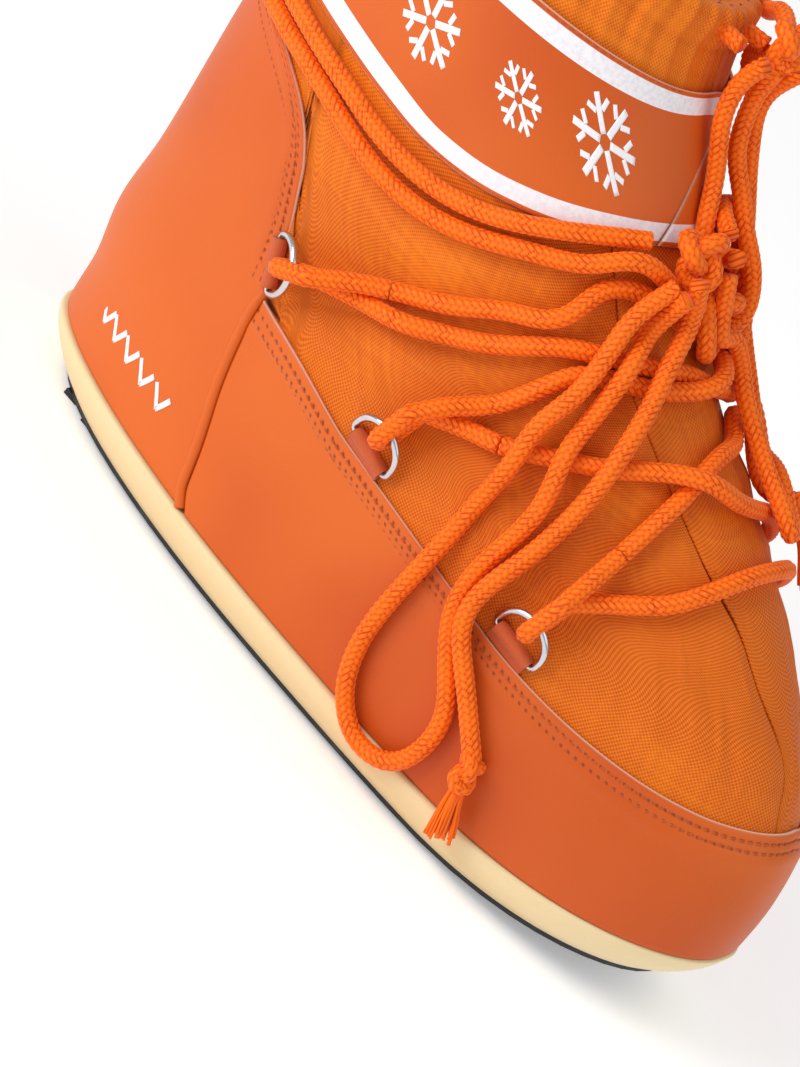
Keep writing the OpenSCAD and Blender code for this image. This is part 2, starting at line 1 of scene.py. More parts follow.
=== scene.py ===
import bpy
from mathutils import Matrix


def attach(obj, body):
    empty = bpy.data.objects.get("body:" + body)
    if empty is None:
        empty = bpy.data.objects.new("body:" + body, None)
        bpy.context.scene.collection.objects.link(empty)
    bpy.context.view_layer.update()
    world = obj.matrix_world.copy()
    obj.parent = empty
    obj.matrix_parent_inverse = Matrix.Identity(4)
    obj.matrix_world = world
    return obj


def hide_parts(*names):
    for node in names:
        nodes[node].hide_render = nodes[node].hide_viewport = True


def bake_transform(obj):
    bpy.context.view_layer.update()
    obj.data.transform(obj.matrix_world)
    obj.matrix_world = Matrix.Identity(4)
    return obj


bl_info = {
    "name": "Padded Snow Boot",
    "version": (1, 0, 0),
    "blender": (4, 5, 0),
    "location": "View3D > Sidebar > Snow Boot",
    "description": "Builds a laced snow boot's panels, cords, rings and stage round its packed frame",
    "category": "Add Mesh",
}

import math

import bpy
import numpy as np
from bpy.props import FloatProperty, FloatVectorProperty, IntProperty, PointerProperty
from bpy.types import Operator, Panel, PropertyGroup
from mathutils import Matrix, Vector

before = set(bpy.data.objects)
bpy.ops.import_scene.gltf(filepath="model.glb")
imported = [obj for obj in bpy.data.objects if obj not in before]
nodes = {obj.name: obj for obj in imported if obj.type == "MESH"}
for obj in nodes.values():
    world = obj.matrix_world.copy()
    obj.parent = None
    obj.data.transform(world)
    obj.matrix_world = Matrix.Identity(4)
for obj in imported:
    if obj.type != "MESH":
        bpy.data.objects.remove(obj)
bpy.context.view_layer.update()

MM = 0.001
SIDES = ("right", "left")
ROOT = "boot"

# ---------------------------------------------------------------- the upper's surface

# Level curves of the upper: rows of [height, value], in millimetres
BACK_X = ((0, -146), (18, -152), (36, -155), (55, -161), (80, -164), (130, -173),
          (180, -180), (230, -185), (250, -186))
FRONT_X = ((0, 150), (18, 152), (36, 152), (55, 150), (74, 144), (92, 129), (110, 106),
           (129, 77), (150, 30), (170, 5), (200, -25), (230, -44), (250, -48))
HALF_WIDTH = ((0, 53), (18, 56), (36, 58), (60, 58), (92, 55), (130, 52), (180, 54),
              (230, 56), (250, 55))
MIDDLE_X = ((0, -10), (36, -15), (80, -40), (120, -65), (150, -80), (200, -100),
            (230, -110), (250, -112))
BACK_POWER = ((0, 2), (250, 2.1))
FRONT_POWER = ((0, 2.6), (36, 2.5), (92, 2.1), (250, 2))

# Seams: height to angle from the toe, or angle to height
COUNTER_EDGE = ((14, 109.5), (24, 112), (50, 112.8), (76, 112), (90, 110.5), (106, 110),
                (116, 111), (125, 112.5), (134, 117), (140, 125), (145, 138), (149, 158),
                (150.5, 180))
VAMP_EDGE = ((60, 8), (84, 8), (90, 6.5), (96, 7), (106, 14), (116, 19), (126, 28),
             (137, 32.5), (149, 35), (165, 37), (185, 40), (225, 44))
MUDGUARD_TOP = ((0, 79.5), (10, 78), (20, 75.5), (32, 71.5), (44, 68), (56, 66), (66, 66.5),
                (74, 69.5), (82, 73), (90, 76.5), (100, 81.5), (112, 85.5))
SHELL_BOTTOM = ((0, 72), (44, 60), (66, 58.5), (90, 69), (108, 78), (114, 82), (117, 122),
                (124, 133), (142, 140), (180, 144))
BAND_BOTTOM = ((0, 184.5), (22, 182), (43, 176), (65, 167), (78, 162), (90, 159.5),
               (102, 160), (116, 161), (140, 162), (180, 163))
BAND_TOP = ((0, 222.5), (20, 221), (41, 220), (72, 218.5), (90, 217.5), (180, 216))
CROSS_SEAM = ((20, 165), (24, 162), (48, 151), (74, 124), (100, 98), (107, 90), (114, 84))

SOLE_WALL = 16.0
FOOT_LEVEL = 22.0
SPRING_START = 60.0
TOE_SPRING = 20.0
OVERLAY = 1.6
SHELL_OUT = -0.4
SHELL_IN = -2.5
FLEECE_OUT = -7.7
FLEECE_IN = -9.1
FOOT_IN = -10.2
RIM = 247.0
HEM_IN = -10.6
HEM_BOTTOM = 237.0


def curve(rows, at):
    """Smooth curve through rows of (position, value): a cubic on each stretch, whose slope at a
    row is that of the chord between its two neighbours. Outside the rows it stays level."""
    rows = np.asarray(rows, float)
    place, value = rows[:, 0], rows[:, 1]
    index = np.arange(len(rows))
    low, high = np.maximum(index - 1, 0), np.minimum(index + 1, len(rows) - 1)
    slope = (value[high] - value[low]) / (place[high] - place[low])
    q = np.clip(at, place[0], place[-1])
    k = np.clip(np.searchsorted(place, q, side="right") - 1, 0, len(rows) - 2)
    h = place[k + 1] - place[k]
    u = (q - place[k]) / h
    return ((2 * u**3 - 3 * u**2 + 1) * value[k] + (u**3 - 2 * u**2 + u) * h * slope[k]
            + (3 * u**2 - 2 * u**3) * value[k + 1] + (u**3 - u**2) * h * slope[k + 1])


def lofted(t, z):
    """Point of the upper at angle t from the toe, in degrees, and height z: at each height two
    half superellipses, x = middle + reach |cos t|^(2/n), y = half width |sin t|^(2/n)."""
    t, z = np.broadcast_arrays(np.asarray(t, float), np.asarray(z, float))
    c, s = np.cos(np.radians(t)), np.sin(np.radians(t))
    middle = curve(MIDDLE_X, z)
    ahead = c >= 0
    reach = np.where(ahead, curve(FRONT_X, z) - middle, middle - curve(BACK_X, z))
    power = 2 / np.where(ahead, curve(FRONT_POWER, z), curve(BACK_POWER, z))
    x = middle + reach * np.sign(c) * np.abs(c) ** power
    y = curve(HALF_WIDTH, z) * np.sign(s) * np.abs(s) ** power
    return np.stack([x, y, z], -1)


def unit(v):
    """Vectors of length one in the same directions."""
    return v / np.maximum(np.linalg.norm(v, axis=-1, keepdims=True), 1e-9)


def outward(t, z, step=0.4):
    """Outward normal of the upper: the cross product of its two central differences."""
    t, z = np.broadcast_arrays(np.asarray(t, float), np.asarray(z, float))
    return unit(np.cross(lofted(t + step, z) - lofted(t - step, z),
                         lofted(t, z + step) - lofted(t, z - step)))


def upper(t, z, out):
    """Point of the upper moved out along its normal by out millimetres."""
    return lofted(t, z) + np.asarray(out, float)[..., None] * outward(t, z)


def spring(x):
    """Rise of the sole's underside: the square of the distance past the ball of the foot."""
    return TOE_SPRING * (np.maximum(0, x - SPRING_START) / 100) ** 2


def sole_line(t):
    """Height of the seam between sole and upper at angle t."""
    return spring(lofted(t, FOOT_LEVEL)[..., 0]) + SOLE_WALL


def blend_in(a, b, x):
    """Smooth step: 0 at a, 1 at b, with level ends."""
    u = np.clip((x - a) / (b - a), 0, 1)
    return u * u * (3 - 2 * u)


def ripple(x, y, seed, scale, layers=3):
    """Smooth uneven field of about -1 to 1: a sum of sine waves whose directions and phases come
    from a seeded list, each layer finer and weaker than the last."""
    rng = np.random.default_rng(seed)
    total = np.zeros(np.broadcast(x, y).shape)
    for layer in range(layers):
        for _ in range(4):
            angle, phase = rng.uniform(0, 2 * np.pi, 2)
            pace = 2 * np.pi / (scale / 1.9**layer) * rng.uniform(0.7, 1.3)
            total += np.sin((x * np.cos(angle) + y * np.sin(angle)) * pace + phase) / 2**layer
    return total / 4


# ---------------------------------------------------------------- meshes

def grid_faces(rows, columns, around=False, start=0, flip=False):
    """Four-cornered faces of a grid of points held row by row; around joins last column to first."""
    wide = columns if around else columns - 1
    j, i = np.meshgrid(np.arange(rows - 1), np.arange(wide), indexing="ij")
    k = (i + 1) % columns
    quads = np.stack([j * columns + i, j * columns + k, (j + 1) * columns + k,
                      (j + 1) * columns + i], -1).reshape(-1, 4)
    return start + (quads[:, ::-1] if flip else quads)


def cap_faces(count, start=0, flip=False):
    """Strips across a level loop of an even count that mirrors about its first point."""
    i = np.arange(0, count // 2)
    quads = np.stack([i, i + 1, (count - i - 1) % count, (count - i) % count], -1)
    return start + (quads[:, ::-1] if flip else quads)


def new_piece(name, points, quads, material, node_slot, body=ROOT, uv=None, marks=None,
              replaces=()):
    """Object from points in millimetres and four-cornered faces. A face whose corners repeat
    becomes a triangle. uv is in metres a point, marks are numbers a point."""
    mesh = bpy.data.meshes.new(name)
    nxt = np.roll(quads, -1, axis=1)
    keep = quads != nxt
    quads = quads[keep.sum(1) >= 3]
    keep = keep[keep.sum(1) >= 3]
    corner, total = quads[keep], keep.sum(1)
    mesh.vertices.add(len(points))
    mesh.vertices.foreach_set("co", (np.asarray(points) * MM).astype(np.float32).ravel())
    mesh.loops.add(len(corner))
    mesh.loops.foreach_set("vertex_index", corner.astype(np.int32))
    mesh.polygons.add(len(total))
    mesh.polygons.foreach_set("loop_start", np.r_[0, np.cumsum(total)[:-1]].astype(np.int32))
    mesh.update(calc_edges=True)
    if uv is not None:
        layer = mesh.uv_layers.new(name="seam_map")
        layer.data.foreach_set("uv", uv[corner].astype(np.float32).ravel())
    for key, values in (marks or {}).items():
        mark = mesh.attributes.new(key, "FLOAT", "POINT")
        mark.data.foreach_set("value", np.broadcast_to(values, len(points)).astype(np.float32))
    mesh.validate()
    mesh.shade_smooth()
    mesh.materials.append(material)
    piece = bpy.data.objects.new(name, mesh)
    bpy.context.scene.collection.objects.link(piece)
    if replaces:
        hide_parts(*replaces)
    if body:
        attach(piece, body)
    return piece


def closed_panel(outer, inner, around=False):
    """Points and faces of a closed panel: an outer and an inner grid of points, of one shape,
    joined round their border."""
    rows, columns = outer.shape[:2]
    size = rows * columns
    points = np.concatenate([outer.reshape(-1, 3), inner.reshape(-1, 3)])
    faces = [grid_faces(rows, columns, around), grid_faces(rows, columns, around, size, True)]
    at = np.arange(size).reshape(rows, columns)
    borders = [np.r_[at[0], at[0, :1]] if around else at[0],
               np.r_[at[-1], at[-1, :1]][::-1] if around else at[-1][::-1]]
    if not around:
        borders += [at[::-1, 0], at[:, -1]]
    for line in borders:
        a, b = line[:-1], line[1:]
        faces.append(np.stack([b, a, a + size, b + size], -1))
    return points, np.concatenate(faces)


def metric_map(points, column, row):
    """Flat map in metres of a grid: lengths along its rows from one column, and up its columns
    from one row."""
    along = np.linalg.norm(np.diff(points, axis=1), axis=-1)
    across = np.linalg.norm(np.diff(points, axis=0), axis=-1)
    u = np.concatenate([np.zeros((len(points), 1)), np.cumsum(along, 1)], 1)
    v = np.concatenate([np.zeros((1, points.shape[1])), np.cumsum(across, 0)], 0)
    return np.stack([u - u[:, column][:, None], v - v[row][None]], -1) * MM


def loft_piece(loops, *args, **more):
    """Piece through level loops of one even count, with strips across both ends."""
    rows, count = loops.shape[:2]
    quads = np.concatenate([grid_faces(rows, count, True), cap_faces(count, 0, True),
                            cap_faces(count, (rows - 1) * count)])
    return new_piece(args[0], loops.reshape(-1, 3), quads, *args[1:], **more)


# ---------------------------------------------------------------- cords as tubes

def smooth_line(route, parts=10):
    """Curve through given points: on each stretch the cubic whose ends lean along the chords between the
    neighbouring points."""
    p = np.asarray(route, float)
    p = np.vstack([2 * p[0] - p[1], p, 2 * p[-1] - p[-2]])
    u = (np.arange(parts) / parts)[None, :, None]
    a, b, c, d = (p[k:len(p) - 3 + k][:, None] for k in range(4))
    line = 0.5 * (2 * b + (c - a) * u + (2 * a - 5 * b + 4 * c - d) * u**2
                  + (3 * b - 3 * c + d - a) * u**3)
    return np.vstack([line.reshape(-1, 3), p[-2]])


def even_line(line, step):
    """The same curve as points an even step apart, and its length."""
    run = np.r_[0, np.cumsum(np.linalg.norm(np.diff(line, axis=0), axis=1))]
    at = np.linspace(0, run[-1], max(3, int(round(run[-1] / step)) + 1))
    return np.stack([np.interp(at, run, line[:, k]) for k in range(3)], -1), run[-1]


def soften(line, step, reach=5.0):
    """The line with its small kinks drawn out: a bell-shaped mean along it, reach millimetres
    wide, with both ends held by reflecting the line through them."""
    half = int(3 * reach / step)
    if len(line) < 2 * half + 2:
        return line
    weight = np.exp(-0.5 * (np.arange(-half, half + 1) * step / reach) ** 2)
    weight /= weight.sum()
    long = np.vstack([2 * line[0] - line[half:0:-1], line, 2 * line[-1] - line[-2:-half - 2:-1]])
    return np.stack([np.convolve(long[:, k], weight, "valid") for k in range(3)], -1)


def carried_frame(line, closed=False):
    """Heading and two sides at each point of a line, the sides carried along without twist: each
    is the last with its part along the new heading taken off."""
    if closed:
        heading = unit(np.roll(line, -1, 0) - np.roll(line, 1, 0))
    else:
        heading = unit(np.gradient(line, axis=0))
    first = np.cross(heading[0], [0.3, 0.5, 0.81])
    side = np.empty_like(line)
    side[0] = first / np.linalg.norm(first)
    for i in range(1, len(line)):
        v = side[i - 1] - heading[i] * (side[i - 1] @ heading[i])
        side[i] = v / np.linalg.norm(v)
    return heading, side, np.cross(heading, side)


def braid_height(turn, run, cell):
    """Height of a braid of eight strands each way, from 0 to 1. Two sets of lines, each of turn
    times eight plus or minus run over cell; a strand goes over two and under two, with a half
    sine across it and a flatter one along each float."""
    a, b = 8 * turn + run / cell, 8 * turn - run / cell
    whole_a, whole_b = np.floor(a), np.floor(b)
    part_a, part_b = a - whole_a, b - whole_b
    phase = np.mod(whole_a + whole_b, 4)
    over = phase < 2
    across = np.where(over, np.sin(np.pi * part_a), np.sin(np.pi * part_b))
    float_at = np.where(over, (phase + part_b) / 2, (phase - 2 + part_a) / 2)
    return np.abs(across) ** 0.6 * (0.3 + 0.7 * np.sin(np.pi * np.clip(float_at, 0, 1)))


def braided_tube(line, radius, around, closed=False):
    """Grid of points of a braided cord: circles of the radius along the line, each point moved by
    the braid's height."""
    _, side, up = carried_frame(line, closed)
    run = np.r_[0, np.cumsum(np.linalg.norm(np.diff(line, axis=0), axis=1))]
    turn = np.arange(around) / around
    height = braid_height(turn[None, :], run[:, None], 2.5)
    r = radius * (0.9 + 0.16 * height)
    angle = 2 * np.pi * turn
    circle = (side[:, None] * np.cos(angle)[None, :, None]
              + up[:, None] * np.sin(angle)[None, :, None])
    points = line[:, None] + r[..., None] * circle
    flat = np.stack(np.broadcast_arrays(turn[None, :] * 2 * np.pi * radius, run[:, None]), -1) * MM
    return points, height, flat


def cord_piece(name, route, radius, material, node_slot, closed=False, step=0.65, around=32,
               **more):
    """Braided cord along a route in millimetres. Returns the piece, its centre line and length."""
    line, length = even_line(smooth_line(route) if len(route) < 90 else route, step)
    if len(route) < 90:
        line, length = even_line(soften(line, step), step)
    if closed:
        line = line[:-1]
    points, height, flat = braided_tube(line, radius, around, closed)
    rows = len(line)
    if closed:
        j, i = np.meshgrid(np.arange(rows), np.arange(around), indexing="ij")
        nj, ni = (j + 1) % rows, (i + 1) % around
        quads = np.stack([j * around + i, j * around + ni, nj * around + ni,
                          nj * around + i], -1).reshape(-1, 4)
    else:
        quads = np.concatenate([grid_faces(rows, around, True), cap_faces(around, 0, True),
                                cap_faces(around, (rows - 1) * around)])
    piece = new_piece(name, points.reshape(-1, 3), quads, material, node_slot,
                      uv=flat.reshape(-1, 2), marks={"braid": height.ravel()}, **more)
    return piece, line, length


# ---------------------------------------------------------------- shader helpers

class Value:
    """A socket that carries a number: arithmetic on it adds Math nodes."""

    def __init__(self, web, socket):
        self.web, self.socket = web, socket

    def maths(self, operation, *others):
        return self.web.number("ShaderNodeMath", {"operation": operation},
                               dict(enumerate((self,) + others)))

    def __add__(self, other):
        return self.maths("ADD", other)

    __radd__ = __add__

    def __mul__(self, other):
        return self.maths("MULTIPLY", other)

    __rmul__ = __mul__

    def __sub__(self, other):
        return self.maths("SUBTRACT", other)

    def __rsub__(self, other):
        return self.web.number("ShaderNodeMath", {"operation": "SUBTRACT"}, {0: other, 1: self})

    def __truediv__(self, other):
        return self.maths("DIVIDE", other)

    def __abs__(self):
        return self.maths("ABSOLUTE")

    def sine(self):
        return self.maths("SINE")

    def part(self):
        return self.maths("FRACT")

    def most(self, other):
        return self.maths("MAXIMUM", other)

    def step(self, low, high):
        """Smooth step of this value: 0 at low, 1 at high."""
        return self.web.number("ShaderNodeMapRange", {"interpolation_type": "SMOOTHSTEP"},
                               {0: self, 1: low, 2: high})


class Web:
    """The node tree of one material."""

    def __init__(self, name):
        self.material = bpy.data.materials.new(name)
        self.material.use_nodes = True
        self.tree = self.material.node_tree
        self.tree.nodes.clear()
        self.place = self.node("ShaderNodeTexCoord")

    def node(self, kind, settings=None, inputs=None):
        """Adds a node: its settings first, then the values or links of its sockets."""
        made = self.tree.nodes.new(kind)
        for key, value in (settings or {}).items():
            if key == "stops":
                ramp = made.color_ramp
                while len(ramp.elements) < len(value):
                    ramp.elements.new(0.5)
                for element, (at, colour) in zip(ramp.elements, value):
                    element.position, element.color = at, (*colour, 1)
            else:
                setattr(made, key, value)
        for key, value in (inputs or {}).items():
            if isinstance(value, Value):
                self.tree.links.new(value.socket, made.inputs[key])
            elif isinstance(value, bpy.types.NodeSocket):
                self.tree.links.new(value, made.inputs[key])
            else:
                socket = made.inputs[key]
                if socket.type == "RGBA" and len(value) == 3:
                    value = (*value, 1)
                socket.default_value = value
        return made

    def number(self, kind, settings=None, inputs=None, output=0):
        return Value(self, self.node(kind, settings, inputs).outputs[output])

    def noise(self, scale, detail=3.0, source="Object", stretch=(1, 1, 1), rough=0.5):
        """Uneven number of 0 to 1 at a scale in features a metre, stretched along the axes."""
        place = self.node("ShaderNodeMapping", inputs={
            "Vector": self.place.outputs[source], "Scale": stretch})
        return self.number("ShaderNodeTexNoise", None, {
            "Vector": place.outputs[0], "Scale": scale, "Detail": detail, "Roughness": rough})

    def cells(self, scale, source="Object"):
        """Distance to the nearest of scattered points, for a pebbled grain."""
        return self.number("ShaderNodeTexVoronoi", {"feature": "SMOOTH_F1"}, {
            "Vector": self.place.outputs[source], "Scale": scale})

    def flat(self):
        """The two lengths of the piece's own flat map, in metres."""
        split = self.node("ShaderNodeSeparateXYZ", inputs={0: self.place.outputs["UV"]})
        return Value(self, split.outputs[0]), Value(self, split.outputs[1])

    def mark(self, name):
        return self.number("ShaderNodeAttribute", {"attribute_name": name}, output=2)

    def mix(self, share, first, second):
        """Colour between two colours."""
        return self.node("ShaderNodeMix", {"data_type": "RGBA"},
                         {0: share, 6: first, 7: second}).outputs[2]

    def bump(self, height, distance, strength=1.0, below=None):
        inputs = {"Height": height, "Distance": distance, "Strength": strength}
        if below is not None:
            inputs["Normal"] = below
        return self.node("ShaderNodeBump", None, inputs).outputs[0]

    def finish(self, **sockets):
        """The surface shader: socket names with _ for a space."""
        named = {key.replace("_", " "): value for key, value in sockets.items()}
        shader = self.node("ShaderNodeBsdfPrincipled", None, named)
        output = self.node("ShaderNodeOutputMaterial")
        self.tree.links.new(shader.outputs[0], output.inputs[0])
        return self.material


def colour(code):
    """Linear colour of a six-figure display colour."""
    value = np.array([int(code[k:k + 2], 16) for k in (0, 2, 4)]) / 255
    return tuple(float(v) for v in np.where(value <= 0.04045, value / 12.92,
                                            ((value + 0.055) / 1.055) ** 2.4))


# ---------------------------------------------------------------- materials

def leatherette(name, base, deep, printed=False, stitched=0.0):
    """Smooth coated overlay: fine pebble grain, a soft uneven sheen, a pale cut edge marked by the cut
    attribute, white woven stripes where the flat map runs within one stripe of either border, and needle
    holes painted as dark dots of shade along a double row of stitches at the flat map's second length."""
    web = Web(name)
    tone = web.noise(9, 2)
    grain = web.cells(900)
    fine = web.noise(2600, 2)
    crease = web.noise(55, 4, stretch=(1, 1, 0.5))
    shade = web.mix(tone.step(0.35, 0.7), base, deep)
    cut = web.mark("cut")
    rough = 0.40 + 0.10 * fine + 0.07 * tone
    if stitched:
        along, across = web.flat()
        pitch = stitched * MM
        holes = None
        for row in (3.4, 6.6):
            line = 1 - abs(across - row * MM).step(0.25 * MM, 0.75 * MM)
            dot = 1 - abs((along / pitch).part() - 0.5).step(0.10, 0.24)
            holes = line * dot if holes is None else holes + line * dot
        # Painted shade: the needle holes are dark dots in the colour, with no holes in the mesh.
        shade = web.mix(holes * 0.75, shade, colour("7A2A0C"))
    if printed:
        low, high = web.flat()
        band = None
        for length in (low, high):
            inside = (1 - abs(length - 5.3 * MM).step(3.35 * MM, 3.55 * MM))
            band = inside if band is None else band.most(inside)
        ground = web.mix(web.noise(700, 2).step(0.3, 0.8), colour("F4F1F4"), colour("E6E0E8"))
        shade = web.mix(band, shade, ground)
        rough = rough + band * 0.08
    edge = web.mix(web.noise(1500, 2), colour("E9D3C6"), colour("D9A98E"))
    shade = web.mix(cut, shade, edge)
    height = grain * 0.5 + fine * 0.3 + crease * 0.8
    return web.finish(Base_Color=shade, Roughness=rough + cut * 0.3,
                      Normal=web.bump(height, 0.00016, 0.55), Coat_Weight=0.05,
                      Coat_Roughness=0.35, Specular_IOR_Level=0.32)


def woven_nylon(name, base, deep, light):
    """Basket weave of flat yarns, two over two, in the flat map: the product of two sines makes the raised
    floats, finer sines the yarn's filaments; painted shade in the gaps between the floats, a soft sheen,
    and slight pale streaks that are partly yarn tone and partly painted sheen."""
    web = Web(name)
    along, across = web.flat()
    pace = 2 * math.pi / (1.5 * MM)
    warp, weft = (along * pace).sine(), (across * pace).sine()
    floats = 0.5 + 0.5 * (warp * weft)
    threads = 0.5 + 0.25 * (along * (pace * 4)).sine() + 0.25 * (across * (pace * 4)).sine()
    streak = web.noise(300, 2, "UV", (1, 0.06, 1)) * 0.5 + web.noise(300, 2, "UV", (0.06, 1, 1)) * 0.5
    tone = web.noise(14, 2)
    # Painted shade: the deep colour fills the low gaps between the floats.
    shade = web.mix(floats.step(0.15, 0.85), deep, base)
    # Pale streaks along the yarns: partly yarn tone, partly painted sheen.
    shade = web.mix((streak * 0.5 + tone * 0.5).step(0.42, 0.68) * 0.5, shade, light)
    height = floats * 0.8 + threads * 0.2
    return web.finish(Base_Color=shade, Roughness=0.50 + 0.16 * floats,
                      Normal=web.bump(height, 0.00022, 0.75), Sheen_Weight=0.04,
                      Sheen_Roughness=0.4, Specular_IOR_Level=0.28)


def braided_cord(name, base, deep, light):
    """Braid of shiny filament: painted shade down between the strands and a painted highlight on their
    crowns, with fine filaments that run with the cord."""
    web = Web(name)
    braid = web.mark("braid")
    filament = web.noise(5200, 2, "UV", (1, 0.3, 1))
    # Painted shade: the deep colour fills the gaps between the strands.
    shade = web.mix(braid.step(0.15, 0.62), deep, base)
    # Painted highlight: the pale colour on the strands' crowns, broken by the filaments.
    shade = web.mix(braid.step(0.7, 1.0) * (0.35 + 0.5 * filament), shade, light)
    return web.finish(Base_Color=shade, Roughness=0.56 + 0.18 * filament,
                      Normal=web.bump(filament, 0.00015, 0.5), Sheen_Weight=0.12,
                      Sheen_Roughness=0.35, Specular_IOR_Level=0.28)


def moulded_sole(name):
    """Pale foam skin of the moulded sole: darker and yellower low down, with faint flow marks along it and
    small pits."""
    web = Web(name)
    split = web.node("ShaderNodeSeparateXYZ", inputs={0: web.place.outputs["Object"]})
    height = Value(web, split.outputs[2])
    flow = web.noise(26, 4, stretch=(0.4, 0.4, 5))
    pits = web.noise(900, 2)
    low = 1 - (height + 0.004 * flow).step(0.004, 0.017)
    shade = web.mix(low * 0.65, colour("EAD3A4"), colour("CFAE78"))
    shade = web.mix(flow.step(0.5, 0.75) * 0.25, shade, colour("DFC491"))
    shade = web.mix(pits.step(0.68, 0.8) * 0.3, shade, colour("C8A873"))
    return web.finish(Base_Color=shade, Roughness=0.36 + 0.12 * flow,
                      Normal=web.bump(flow + 0.3 * pits, 0.0002, 0.4), Subsurface_Weight=0.25,
                      Subsurface_Radius=(0.006, 0.004, 0.002), Subsurface_Scale=1.0,
                      Specular_IOR_Level=0.45)


def tread_rubber(name):
    """Black rubber with grey dust caught in its fine pitted skin."""
    web = Web(name)
    dust = web.noise(120, 5)
    pits = web.noise(1800, 2)
    shade = web.mix(dust.step(0.5, 0.8) * 0.4, colour("1B1B1D"), colour("4A4743"))
    return web.finish(Base_Color=shade, Roughness=0.55 + 0.25 * dust,
                      Normal=web.bump(pits, 0.0002, 0.5))


def polished_steel(name):
    """Plated wire: bright, with a few hair scratches and duller spots where it has rubbed."""
    web = Web(name)
    scratch = web.noise(700, 3, stretch=(1, 6, 1))
    rub = web.noise(160, 2)
    return web.finish(Base_Color=web.mix(rub, colour("D9DCE0"), colour("C2C6CC")), Metallic=1.0,
                      Roughness=0.12 + 0.16 * rub.step(0.4, 0.8) + 0.08 * scratch,
                      Normal=web.bump(scratch, 0.00004, 0.3))


def soft_cloth(name, base, deep, pace, distance, rough=0.85):
    """Napped or felted cloth: uneven tufts at a pace a metre, with painted shade darker between them."""
    web = Web(name)
    tuft = web.noise(pace, 5, rough=0.65)
    # Painted shade: the deep colour fills the low gaps between the tufts.
    shade = web.mix(tuft.step(0.3, 0.7), deep, base)
    return web.finish(Base_Color=shade, Roughness=rough + 0.1 * tuft,
                      Normal=web.bump(tuft, distance, 0.8), Sheen_Weight=0.4,
                      Sheen_Roughness=0.5)


def sewing_thread(name, base):
    """Twisted thread: a slanting twist and a slight shine."""
    web = Web(name)
    twist = web.noise(2600, 2, stretch=(1, 0.4, 0.4))
    return web.finish(Base_Color=web.mix(twist, base, tuple(0.6 * c for c in base)),
                      Roughness=0.5 + 0.15 * twist, Normal=web.bump(twist, 0.0001, 0.5))


def film_print(name):
    """White heat-pressed film: the grain below shows through, a touch thin in places."""
    web = Web(name)
    thin = web.noise(420, 4)
    return web.finish(Base_Color=web.mix(thin.step(0.45, 0.8) * 0.4, colour("F5F2F5"),
                                         colour("EAE0E2")), Roughness=0.45 + 0.1 * thin,
                      Normal=web.bump(web.cells(900) + thin, 0.0001, 0.35))


def webbing_tape(name, base, deep):
    """Narrow woven tape in a fine herringbone, with painted shade darker in its low ribs."""
    web = Web(name)
    rib = web.noise(1700, 2, stretch=(1, 3, 3))
    # Painted shade: the deep colour fills the low ribs of the tape.
    return web.finish(Base_Color=web.mix(rib, deep, base), Roughness=0.6 + 0.15 * rib,
                      Normal=web.bump(rib, 0.0002, 0.6), Sheen_Weight=0.15)


# ---------------------------------------------------------------- settings

def shade_setting(name, description, code):
    return FloatVectorProperty(name=name, description=description, subtype="COLOR", size=3,
                               min=0.0, max=1.0, default=colour(code))


class SNOWBOOT_PG_colours(PropertyGroup):
    leather: shade_setting("Overlay", "Colour of the smooth overlays", "D8641A")
    leather_deep: shade_setting("Overlay, deep", "Deeper tone of the overlays", "C85210")
    nylon: shade_setting("Nylon", "Crowns of the woven shell", "EE7804")
    # The deep nylon colour is painted shade in the weave's gaps; the pale one paints streaks, partly yarn
    # tone and partly sheen.
    nylon_gap_shade: shade_setting("Nylon, deep", "Gaps of the woven shell", "C25002")
    nylon_streak_and_sheen: shade_setting("Nylon, pale", "Sheen streaks of the woven shell", "FF8E0C")
    cord: shade_setting("Cord", "Colour of the braided cords", "FF7200")
    # The deep cord colour is painted shade between the strands; the pale one is a painted highlight on
    # their crowns.
    cord_gap_shade: shade_setting("Cord, deep", "Gaps between the strands", "D23C00")
    cord_crown_highlight: shade_setting("Cord, pale", "Crowns of the strands", "FF8C22")


class SNOWBOOT_PG_sizes(PropertyGroup):
    cord_radius: FloatProperty(name="Cord radius", description="Half the cord's thickness",
                               default=3.0 * MM, min=2.0 * MM, max=3.2 * MM, unit="LENGTH")
    wire_radius: FloatProperty(name="Wire radius", description="Half the ring wire's thickness",
                               default=1.25 * MM, min=1.0 * MM, max=1.3 * MM, unit="LENGTH")
    stitch_pitch: FloatProperty(name="Stitch pitch", description="Length of one stitch",
                                default=3.0 * MM, min=2.0 * MM, max=5.0 * MM, unit="LENGTH")
    padding: FloatProperty(name="Padding", description="How far the padded shell swells",
                           default=2.0 * MM, min=0.0, max=3.0 * MM, unit="LENGTH")
    gathers: IntProperty(name="Gathers", description="Folds round the collar", default=34,
                         min=8, max=60)


MATERIALS = {}


def paint():
    return bpy.context.scene.snowboot_colours


def sizes():
    return bpy.context.scene.snowboot_sizes


# ---------------------------------------------------------------- cord routes, in metres

